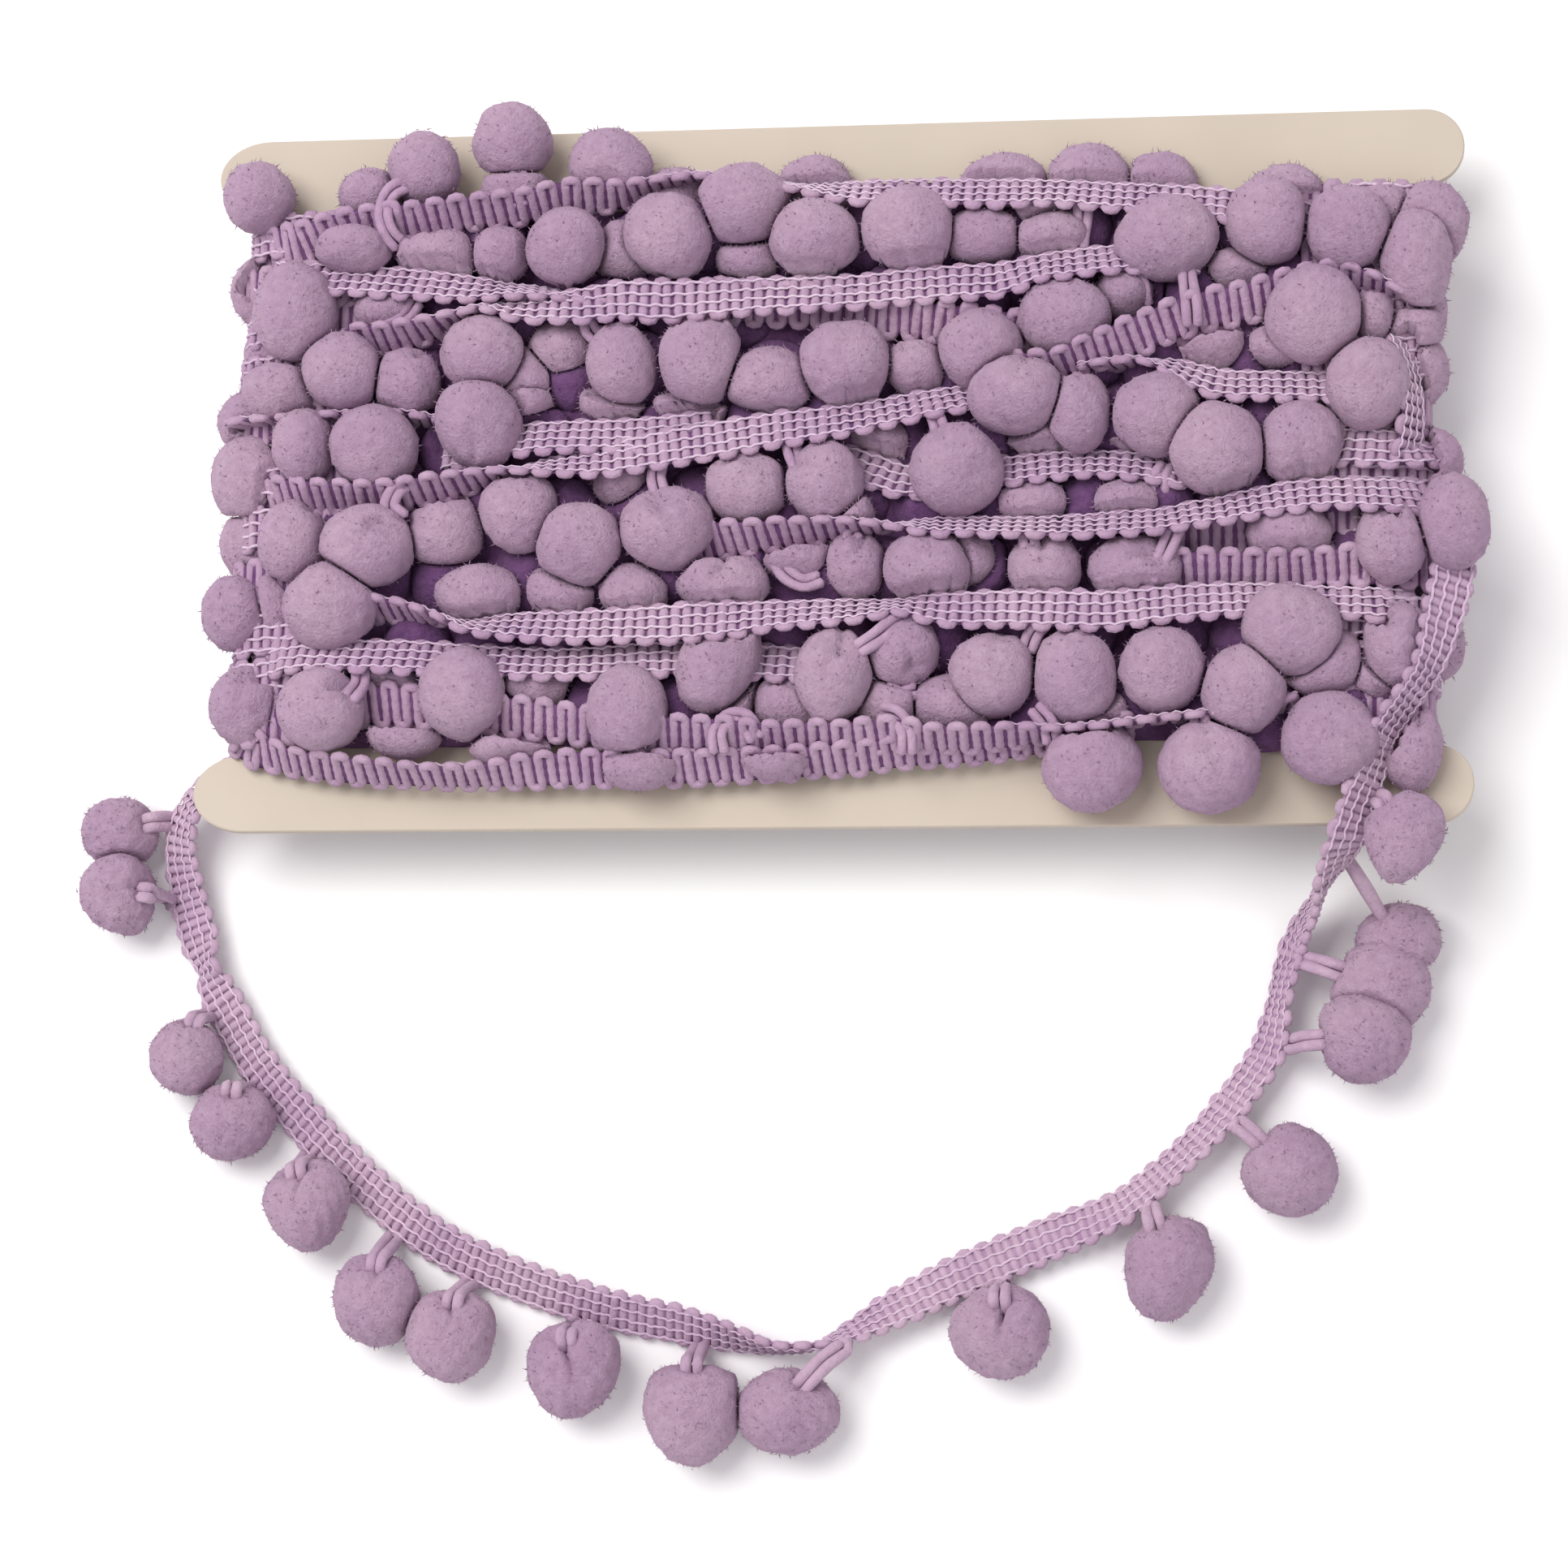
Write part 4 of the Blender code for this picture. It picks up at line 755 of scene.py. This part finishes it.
def board_material():
    m = bpy.data.materials.new("card_board")
    m.use_nodes = True
    nodes, links = m.node_tree.nodes, m.node_tree.links
    shader = nodes["Principled BSDF"]
    shader.inputs["Roughness"].default_value = 0.62
    shader.inputs["Specular IOR Level"].default_value = 0.3
    coords = nodes.new("ShaderNodeTexCoord")
    shade = nodes.new("ShaderNodeTexNoise")
    shade.inputs["Scale"].default_value = 60.0
    shade.inputs["Detail"].default_value = 5.0
    links.new(coords.outputs["Object"], shade.inputs["Vector"])
    ramp = nodes.new("ShaderNodeValToRGB")
    ramp.color_ramp.elements[0].position = 0.3
    ramp.color_ramp.elements[1].position = 0.7
    ramp.color_ramp.elements[0].color = (0.520, 0.452, 0.372, 1.0)
    ramp.color_ramp.elements[1].color = (0.552, 0.482, 0.402, 1.0)
    links.new(shade.outputs["Fac"], ramp.inputs["Fac"])
    links.new(ramp.outputs["Color"], shader.inputs["Base Color"])
    fine = nodes.new("ShaderNodeTexNoise")
    fine.inputs["Scale"].default_value = 900.0
    fine.inputs["Detail"].default_value = 3.0
    links.new(coords.outputs["Object"], fine.inputs["Vector"])
    bump = nodes.new("ShaderNodeBump")
    bump.inputs["Strength"].default_value = 0.12
    bump.inputs["Distance"].default_value = 0.0001
    links.new(fine.outputs["Fac"], bump.inputs["Height"])
    links.new(bump.outputs["Normal"], shader.inputs["Normal"])
    return m


PILE = fibre("pompom_pile", (0.456, 0.302, 0.418), (0.537, 0.377, 0.501), 900.0, 2200.0, 1.0, 0.00055, 0.35, (0.86, 0.66, 0.84))
YARN = fibre("braid_yarn", (0.445, 0.297, 0.415), (0.532, 0.373, 0.502), 600.0, 2400.0, 0.8, 0.0003, 0.25, (0.88, 0.70, 0.86))
# A lighter copy of the yarn for the chain stitches: painted highlight on the raised stitches.
CHAIN_PAINTED_HIGHLIGHT = fibre("chain_stitch_painted_highlight", (0.62, 0.475, 0.600), (0.72, 0.575, 0.695), 500.0, 4000.0, 0.3, 0.0002, 0.25, (0.9, 0.75, 0.88))
LOOP_YARN = fibre("loop_yarn", (0.495, 0.345, 0.458), (0.582, 0.424, 0.538), 600.0, 2400.0, 0.8, 0.0003, 0.3, (0.9, 0.75, 0.88))
# The pile darkened and made more violet: painted shade for the lower pompoms deep in the gaps.
PILE_PAINTED_SHADE = fibre("lower_pile_painted_shade", (0.140, 0.060, 0.160), (0.190, 0.088, 0.215), 900.0, 1500.0, 1.0, 0.0006, 0.15, (0.7, 0.5, 0.75))
# The yarn darkened: painted shade for the inner turns seen between the outer ones.
INNER_PAINTED_SHADE = fibre("inner_turns_painted_shade", (0.125, 0.052, 0.14), (0.19, 0.088, 0.205), 300.0, 1400.0, 1.0, 0.0006, 0.1, (0.6, 0.4, 0.6))
# The yarn darkened for the ground under the ribs: painted shade in the grooves between them.
GROOVE_PAINTED_SHADE = fibre("groove_painted_shade", (0.14, 0.060, 0.155), (0.19, 0.088, 0.205), 600.0, 2400.0, 0.8, 0.0003, 0.1, (0.7, 0.5, 0.75))
# The loop's chain stitches in a lighter copy of its yarn: painted highlight on the raised stitches.
LOOP_CHAIN_PAINTED_HIGHLIGHT = fibre("loop_chain_painted_highlight", (0.60, 0.448, 0.568), (0.69, 0.532, 0.655), 500.0, 4000.0, 0.3, 0.0002, 0.25, (0.9, 0.75, 0.88))
# The loop's yarn darkened for its ground: painted shade in the grooves between its ribs.
LOOP_GROOVE_PAINTED_SHADE = fibre("loop_groove_painted_shade", (0.40, 0.245, 0.378), (0.46, 0.30, 0.44), 600.0, 2400.0, 0.8, 0.0003, 0.1, (0.7, 0.5, 0.75))
BOARD = board_material()


# ---- the card --------------------------------------------------------------
def card_outline(inset):
    """Anticlockwise from the bottom right tab, drawn in by inset."""
    half_l, half_h, r, waist = 75.5 - inset, 43.15 - inset, 4.65 - inset * 0.5, 66.8 - inset
    tab = 9.3 - inset
    out = []

    def end(cx, cy, rx, ry, start, stop):
        for i in range(25):
            a = math.radians(start + (stop - start) * i / 24)
            out.append((cx + rx * math.cos(a), cy + ry * math.sin(a)))

    long_r = r + 1.6
    end(half_l - r, -half_h + r, r, r, -90, 90)
    out.extend([(waist, -half_h + tab), (waist, half_h - tab)])
    end(half_l - r, half_h - r, r, r, -90, 90)
    end(-half_l + long_r, half_h - r, long_r, r, 90, 270)
    out.extend([(-waist, half_h - tab), (-waist, -half_h + tab)])
    end(-half_l + long_r, -half_h + r, long_r, r, 90, 270)
    return np.array(out)


def build_card():
    levels = [(CARD_Z + 0.12, 0.0), (CARD_TOP - 0.14, 0.0), (CARD_TOP, 0.14)]
    rings = [np.column_stack([card_outline(0.12), np.full(len(card_outline(0)), CARD_Z)])]
    for z, inset in levels:
        ring = card_outline(inset)
        rings.append(np.column_stack([ring, np.full(len(ring), z)]))
    n = len(rings[0])
    points = [tuple(p) for ring in rings for p in ring]
    faces = [tuple(reversed(range(n))), tuple(range(3 * n, 4 * n))]
    for level in range(3):
        for i in range(n):
            k = (i + 1) % n
            faces.append((level * n + i, level * n + k, (level + 1) * n + k, (level + 1) * n + i))
    mesh = bpy.data.meshes.new("card")
    mesh.from_pydata([tuple(c * MM for c in p) for p in points], [], faces)
    mesh.materials.append(BOARD)
    made = bpy.data.objects.new("card", mesh)
    bpy.context.scene.collection.objects.link(made)
    return made


# ---- the inner turns -------------------------------------------------------
def build_inner():
    """What fills the ring under the turns that show: a lumpy mass of pressed trim, round the card. Its material is
    painted shade: the same yarn darkened, as it lies in the shade of the turns above.
    """
    heap = Heap()
    section = []  # (x, z) of the ring's outside, once round
    for x in np.linspace(-64, 64, 72):
        section.append((x, 15.0, 0.0))
    for a in np.radians(np.linspace(75, -75, 13)):
        section.append((65.2 + 3.6 * math.cos(a), 12.4 + 4.0 * math.sin(a), 1.0))
    for x in np.linspace(64, -64, 50):
        section.append((x, 9.4, 0.0))
    for a in np.radians(np.linspace(255, 105, 13)):
        section.append((-65.2 + 3.6 * math.cos(a), 12.4 + 4.0 * math.sin(a), 1.0))
    section = np.array(section)
    ys = np.linspace(-33.2, 32.8, 54)
    n, m = len(section), len(ys)
    x = np.repeat(section[:, 0], m)
    z = np.repeat(section[:, 1], m)
    y = np.tile(ys, n)
    lump = 0.9 * np.sin(0.62 * x + 1.3 * np.sin(0.21 * y)) * np.cos(0.66 * y + 0.8) + 0.35 * np.sin(2.3 * x + 0.7 * y) * np.cos(1.9 * y)
    side = np.sign(z - 12.6)
    z = z + np.where(np.repeat(section[:, 2], m) > 0, 0.2, 1.0) * lump * side * 0.9
    edge = np.minimum(y - ys[0], ys[-1] - y) / 3.0
    fall = np.sqrt(np.clip(1 - (1 - np.clip(edge, 0, 1)) ** 2, 0, 1))
    z = np.where(side > 0, 13.6 + (z - 13.6) * fall, 11.6 + (z - 11.6) * fall)
    outer = np.column_stack([x, y, z])
    i, j = np.meshgrid(np.arange(n), np.arange(m - 1), indexing="ij")
    k = (i + 1) % n
    quads = np.stack([i * m + j, k * m + j, k * m + j + 1, i * m + j + 1], -1).reshape(-1, 4)
    heap.add(outer, quads=quads)
    # The tunnel that the card fills, and the two rims.
    inner = []
    for sx, sz, _ in section:
        inner.append((max(-67.1, min(67.1, sx * 1.04)), ys[0], 13.5 if sz > 12.6 else 11.7))
    inner = np.array(inner)
    far = inner.copy()
    far[:, 1] = ys[-1]
    i = np.arange(n)
    k = (i + 1) % n
    base = n * m
    heap.total = 0
    points = np.vstack([outer, inner, far])
    rims = [
        np.stack([base + i, base + k, k * m, i * m], 1),
        np.stack([i * m + m - 1, k * m + m - 1, base + n + k, base + n + i], 1),
        np.stack([base + k, base + i, base + n + i, base + n + k], 1),
    ]
    heap = Heap()
    heap.add(points, quads=np.vstack([quads] + rims))
    return heap.make("inner_turns_painted_shade", [INNER_PAINTED_SHADE])


# ---- building --------------------------------------------------------------
front = {name: seen_band(rows) for name, rows in BANDS.items()}
down = {name: seen_band(rows, 0.0) for name, rows in DOWN_BANDS.items()}

# The braid at the right end runs on into the loose loop: one ribbon, cut where the part's loop begins.
whole = rolled([(*at(px, py, z), roll) for px, py, z, roll in TO_LOOP] + LOOP + FROM_LOOP, 0.4)
lowest = np.abs(whole["A"][:, 2]) * 3.0 + np.abs(whole["F"][:, 2]) * 0.85 + 0.05
whole["P"][:, 2] = np.maximum(whole["P"][:, 2], lowest)
cut = int(np.argmin(np.linalg.norm(whole["P"] - np.array(LOOP[0][:3]), axis=1)))
far_cut = int(np.argmin(np.linalg.norm(whole["P"] - np.array(LOOP[-1][:3]), axis=1)))


def part_of(band, first, stop):
    piece = {key: value[first:stop].copy() for key, value in band.items()}
    piece["S"] -= piece["S"][0]
    return piece


down["to_loop"] = part_of(whole, 0, cut + 2)
down["from_loop"] = part_of(whole, far_cut - 1, None)
loop = part_of(whole, cut, far_cut + 1)
front_bands = list(front.values()) + list(down.values())

card = build_card()
inner = build_inner()

upper = Heap()
lower = Heap()
ends = Heap()
for n, (name, band) in enumerate(list(front.items()) + list(down.items())):
    if name in ("to_loop", "from_loop"):
        braid(ends, band, 100 + n, chains=(1,), ground=0.2, ribs=LOOP_PITCH, wide=0.52)
    else:
        braid(lower if n % 2 else upper, band, 100 + n, chains=(1,))
ends_piece = ends.make("loop_ends", [LOOP_YARN, LOOP_CHAIN_PAINTED_HIGHLIGHT, LOOP_GROOVE_PAINTED_SHADE])
braid_a = upper.make("front_braid_a", [YARN, CHAIN_PAINTED_HIGHLIGHT, GROOVE_PAINTED_SHADE])
braid_b = lower.make("front_braid_b", [YARN, CHAIN_PAINTED_HIGHLIGHT, GROOVE_PAINTED_SHADE])

# The turns round the ends and across the back.
turns = Heap()
end_bands = []
for n, (y_right, y_left, face, out) in enumerate(TURNS):
    x_r = [(56, 17.6), (62, 17.6), (66.4, 17.2), (67.6 + out * 0.62, 15.8), (67.4 + out, 13.2), (67.3 + out, 10.6), (66.6 + out * 0.5, 8.6), (62, 7.8), (56, 7.6)]
    rows = [(x, y_right, z) for x, z in x_r]
    rows += [(x, y_right + (y_left - y_right) * (56 - x) / 112 + 0.8 * math.sin(0.09 * x + n), 7.6 + 0.3 * math.sin(0.2 * x + n)) for x in (36, 18, 0, -18, -36)]
    rows += [(-x, y_left, z) for x, z in reversed(x_r)]
    fine = spline(rows, 0.6)
    hint = np.tile((0.02 * math.sin(n), float(face), 0.0), (len(fine), 1))
    band = ribbon(fine, hint)
    end_bands.append(band)
    length = band["S"][-1]
    braid(turns, band, 300 + n, sides=6, samples=4, turn=(50, 130))
    if face > 0:
        for span in ((6.0, 34.0), (length - 34.0, length - 6.0)):
            for row in CHAIN_ROWS:
                s = np.linspace(*span, 80)
                lift = 0.5 * (1 - np.cos(2 * np.pi * s / RIB_PITCH))
                a = row + 0.10 * np.sin(np.pi * s / RIB_PITCH + row)
                points, face_dir = place(band, s, a, 0.31 + 0.24 * lift)
                # These stitches take the lighter material, a painted highlight.
                tube(turns, points, face_dir, CHAIN_R, CHAIN_W, 4, 1)
turns_piece = turns.make("end_and_back_turns", [YARN, CHAIN_PAINTED_HIGHLIGHT, GROOVE_PAINTED_SHADE])

# Front and end pompoms.
poms = []
for n, (px, py, wx, wy, z) in enumerate(FRONT_POMS):
    rx, ry = wx / PX_PER_MM, wy / PX_PER_MM
    rz = min(5.2, max(4.3, 0.5 * (rx + ry)))
    turn, taper = SHAPES.get((px, py), (0.0, 0.0))
    pom = Pom(at(px, py, z), (rx, max(ry, 2.8), rz), 1000 + n, turn, taper)
    if (px, py) in CLEFTS:
        way, lift, depth, dimple = CLEFTS[(px, py)]
        way, lift = math.radians(way), math.radians(lift)
        pom.entry = np.array([math.cos(way) * math.cos(lift), math.sin(way) * math.cos(lift), math.sin(lift)])
        pom.crease, pom.dimple = depth, dimple
    poms.append(pom)
for n, (px, py, wx, wy, z) in enumerate(END_POMS):
    pom = Pom(at(px, py, z), (wx / PX_PER_MM, wy / PX_PER_MM, 4.8), 2000 + n)
    if (px, py) in CLEFTS:
        way, lift, depth, dimple = CLEFTS[(px, py)]
        way, lift = math.radians(way), math.radians(lift)
        pom.entry = np.array([math.cos(way) * math.cos(lift), math.sin(way) * math.cos(lift), math.sin(lift)])
        pom.crease, pom.dimple = depth, dimple
    poms.append(pom)
shown = len(poms)
# The lower layer, seen in the gaps. Its material is painted shade: the same pile, darkened for the deep shade between
# the pompoms above.
rng = np.random.default_rng(11)
for row in range(8):
    for k in range(15):
        x = -62.5 + 8.9 * k + 4.4 * (row % 2) + rng.uniform(-1.2, 1.2)
        y = -29.0 + 8.2 * row + rng.uniform(-1.0, 1.0)
        if abs(x) < 65:
            r = rng.uniform(4.5, 5.0)
            poms.append(Pom((x, y, rng.uniform(13.8, 14.8)), (r, r, 4.5), 2500 + len(poms)))
press_neighbours(poms)
pom_a, pom_b, pom_c = Heap(), Heap(), Heap()
for n, pom in enumerate(poms):
    if pom.c[2] > CARD_TOP + 0.5:
        pom.flats.append((np.array([0, 0, CARD_TOP + 0.05]), np.array([0.0, 0.0, -1.0])))
    if n >= shown:
        add_pom(pom_c, pom, 3, front_bands, fuzz=60, fuzz_above=0.2)
    else:
        add_pom(pom_a if n % 2 else pom_b, pom, 4, front_bands, fuzz=240, fuzz_above=-0.35, reach=(0.28, 0.58))
pom_piece_a = pom_a.make("front_pompoms_a", [PILE])
pom_piece_b = pom_b.make("front_pompoms_b", [PILE])
# The lower pompoms take the darkened pile, a painted shade.
pom_piece_c = pom_c.make("lower_pompoms", [PILE_PAINTED_SHADE])

ties = Heap()
for n, points in enumerate(FRONT_TIES):
    strands(ties, [at(*p) for p in points], 3000 + n)
ties_piece = ties.make("front_ties", [YARN])

# Back pompoms, pressed on the surface.
rng = np.random.default_rng(77)
back = []
for y, x0, pitch, count in BACK_POM_ROWS:
    for k in range(count):
        x = x0 + pitch * k + rng.uniform(-0.8, 0.8)
        r = rng.uniform(4.7, 5.3)
        back.append(Pom((x, y + rng.uniform(-0.8, 0.8), 4.2), (r, r, 4.9), 4000 + len(back)))
press_neighbours(back)
back_heap = Heap()
for pom in back:
    pom.flats.append((np.array([0, 0, 11.7]), np.array([0.0, 0.0, 1.0])))
    add_pom(back_heap, pom, 3, fuzz=40, fuzz_above=-0.5)
back_piece = back_heap.make("back_pompoms", [PILE])

# The loose loop.
loop_heap = Heap()
braid(loop_heap, loop, 500, sides=8, samples=9, turn=(35, 90, 145), chains=(1, -1), pinch=0.12, ground=0.2, ribs=LOOP_PITCH, wide=0.52)
loop_piece = loop_heap.make("loop_braid_yarn", [LOOP_YARN, LOOP_CHAIN_PAINTED_HIGHLIGHT, LOOP_GROOVE_PAINTED_SHADE])

loop_poms = []
for n, (name, x, y, z, rx, ry, turn, taper, crease, tx, ty, lift) in enumerate(LOOP_POMS):
    i = int(np.argmin((loop["P"][:, 0] - tx) ** 2 + (loop["P"][:, 1] - ty) ** 2))
    centre = np.array([x, y, max(z, 0.5 * (rx + ry) * 0.96) if z < 12 else z])
    towards = 1.0 if (centre - loop["P"][i]) @ loop["A"][i] > 0 else -1.0
    edge = loop["P"][i] + loop["A"][i] * towards * 2.7
    flat = np.array([edge[0] - x, edge[1] - y, 0.0])
    flat = unit(flat)
    entry = flat * math.cos(math.radians(lift)) + np.array([0, 0, 1.0]) * math.sin(math.radians(lift))
    rz = min(5.4, 0.5 * (rx + ry)) * 0.97
    pom = Pom(centre, (rx, ry, rz), 5000 + n, turn, taper, crease, entry, dimple=0.2)
    loop_poms.append((name, pom, i, edge, entry, towards))
press_neighbours([row[1] for row in loop_poms[3:]])
press_neighbours([loop_poms[0][1], loop_poms[1][1]])
for under_n, over_n in ((1, 2), (2, 3)):
    under_pom, over_pom = loop_poms[under_n][1], loop_poms[over_n][1]
    way = unit(over_pom.c + (0.0, 0.0, 1.2) - under_pom.c)
    under_pom.flats.append((under_pom.c + way * 3.4, way))
for n, (name, pom, i, edge, entry, towards) in enumerate(loop_poms):
    heap = Heap()
    if pom.c[2] > 12:
        pom.flats.append((np.array([0, 0, CARD_TOP + 0.05]), np.array([0.0, 0.0, -1.0])))
    add_pom(heap, pom, 5, [loop], fuzz=450, fuzz_above=-0.6)
    stop = pom.c + entry * pom.r.mean() * 0.62
    outside = pom.c + entry * pom.r.mean() * 1.02
    under = loop["F"][i] * (-0.75 if loop["F"][i][2] > 0 else 0.75)
    start = loop["P"][i] + loop["A"][i] * towards * 1.2 + under
    middle = 0.5 * (edge + outside) + np.array([0, 0, 0.25])
    one = name == "pompom_02"
    strands(heap, [start, edge + under * 0.8, middle, outside, stop], 6000 + n, 0.85 if one else 0.68, slot=1, spread=0.62, single=one)
    piece = heap.make("loop_" + name, [PILE, LOOP_YARN])
    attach(piece, "root")
    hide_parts(name)

for piece, slot in (
    (card, "card"),
    (inner, "wound_yarn"),
    (braid_a, "braid_yarn"),
    (braid_b, "braid_yarn"),
    (turns_piece, "braid_yarn"),
    (ends_piece, "braid_yarn"),
    (pom_piece_a, "pompom_pile"),
    (pom_piece_b, "pompom_pile"),
    (pom_piece_c, "pompom_pile"),
    (back_piece, "pompom_pile"),
    (ties_piece, "braid_yarn"),
    (loop_piece, "braid_yarn"),
):
    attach(piece, "root")
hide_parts("winding_card")
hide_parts("wound_trim")
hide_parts("loop_braid")

# ---- floor, light and camera -----------------------------------------------
floor_mesh = bpy.data.meshes.new("floor")
floor_mesh.from_pydata([(-3, -3, 0), (3, -3, 0), (3, 3, 0), (-3, 3, 0)], [], [(0, 1, 2, 3)])
floor = bpy.data.objects.new("floor", floor_mesh)
bpy.context.scene.collection.objects.link(floor)
paper = bpy.data.materials.new("floor_paper")
paper.use_nodes = True
paper.node_tree.nodes["Principled BSDF"].inputs["Base Color"].default_value = (0.95, 0.95, 0.95, 1.0)
paper.node_tree.nodes["Principled BSDF"].inputs["Roughness"].default_value = 0.9
paper.node_tree.nodes["Principled BSDF"].inputs["Specular IOR Level"].default_value = 0.1
floor_mesh.materials.append(paper)

world = bpy.data.worlds.new("studio")
bpy.context.scene.world = world
world.use_nodes = True
world.node_tree.nodes["Background"].inputs["Color"].default_value = (1.0, 0.978, 0.995, 1.0)
world.node_tree.nodes["Background"].inputs["Strength"].default_value = 0.575


def area_light(name, place_m, size, power, colour):
    data = bpy.data.lights.new(name, "AREA")
    data.shape = "SQUARE"
    data.size = size
    data.energy = power
    data.color = colour
    lamp = bpy.data.objects.new(name, data)
    bpy.context.scene.collection.objects.link(lamp)
    lamp.location = place_m
    lamp.rotation_euler = (-lamp.location).to_track_quat("-Z", "Y").to_euler()
    return lamp


area_light("key", (-0.34, 0.20, 0.88), 0.6, 7.6, (1.0, 0.985, 0.97))
area_light("fill", (0.4, -0.5, 0.9), 0.9, 2.1, (0.97, 0.975, 1.0))

camera_data = bpy.data.cameras.new("camera")
camera_data.sensor_width = 36.0
camera_data.lens = FOCAL_PX / FRAME_PX * 36.0
camera_data.clip_start, camera_data.clip_end = 0.02, 10.0
camera = bpy.data.objects.new("camera", camera_data)
bpy.context.scene.collection.objects.link(camera)
pose = Matrix.Identity(4)
for r in range(3):
    for c in range(3):
        pose[r][c] = CAM_AXES[r, c]
    pose[r][3] = CAM_AT[r] * MM
camera.matrix_world = pose
bpy.context.scene.camera = camera
bpy.context.scene.view_settings.view_transform = "Standard"
bpy.context.scene.view_settings.look = "None"
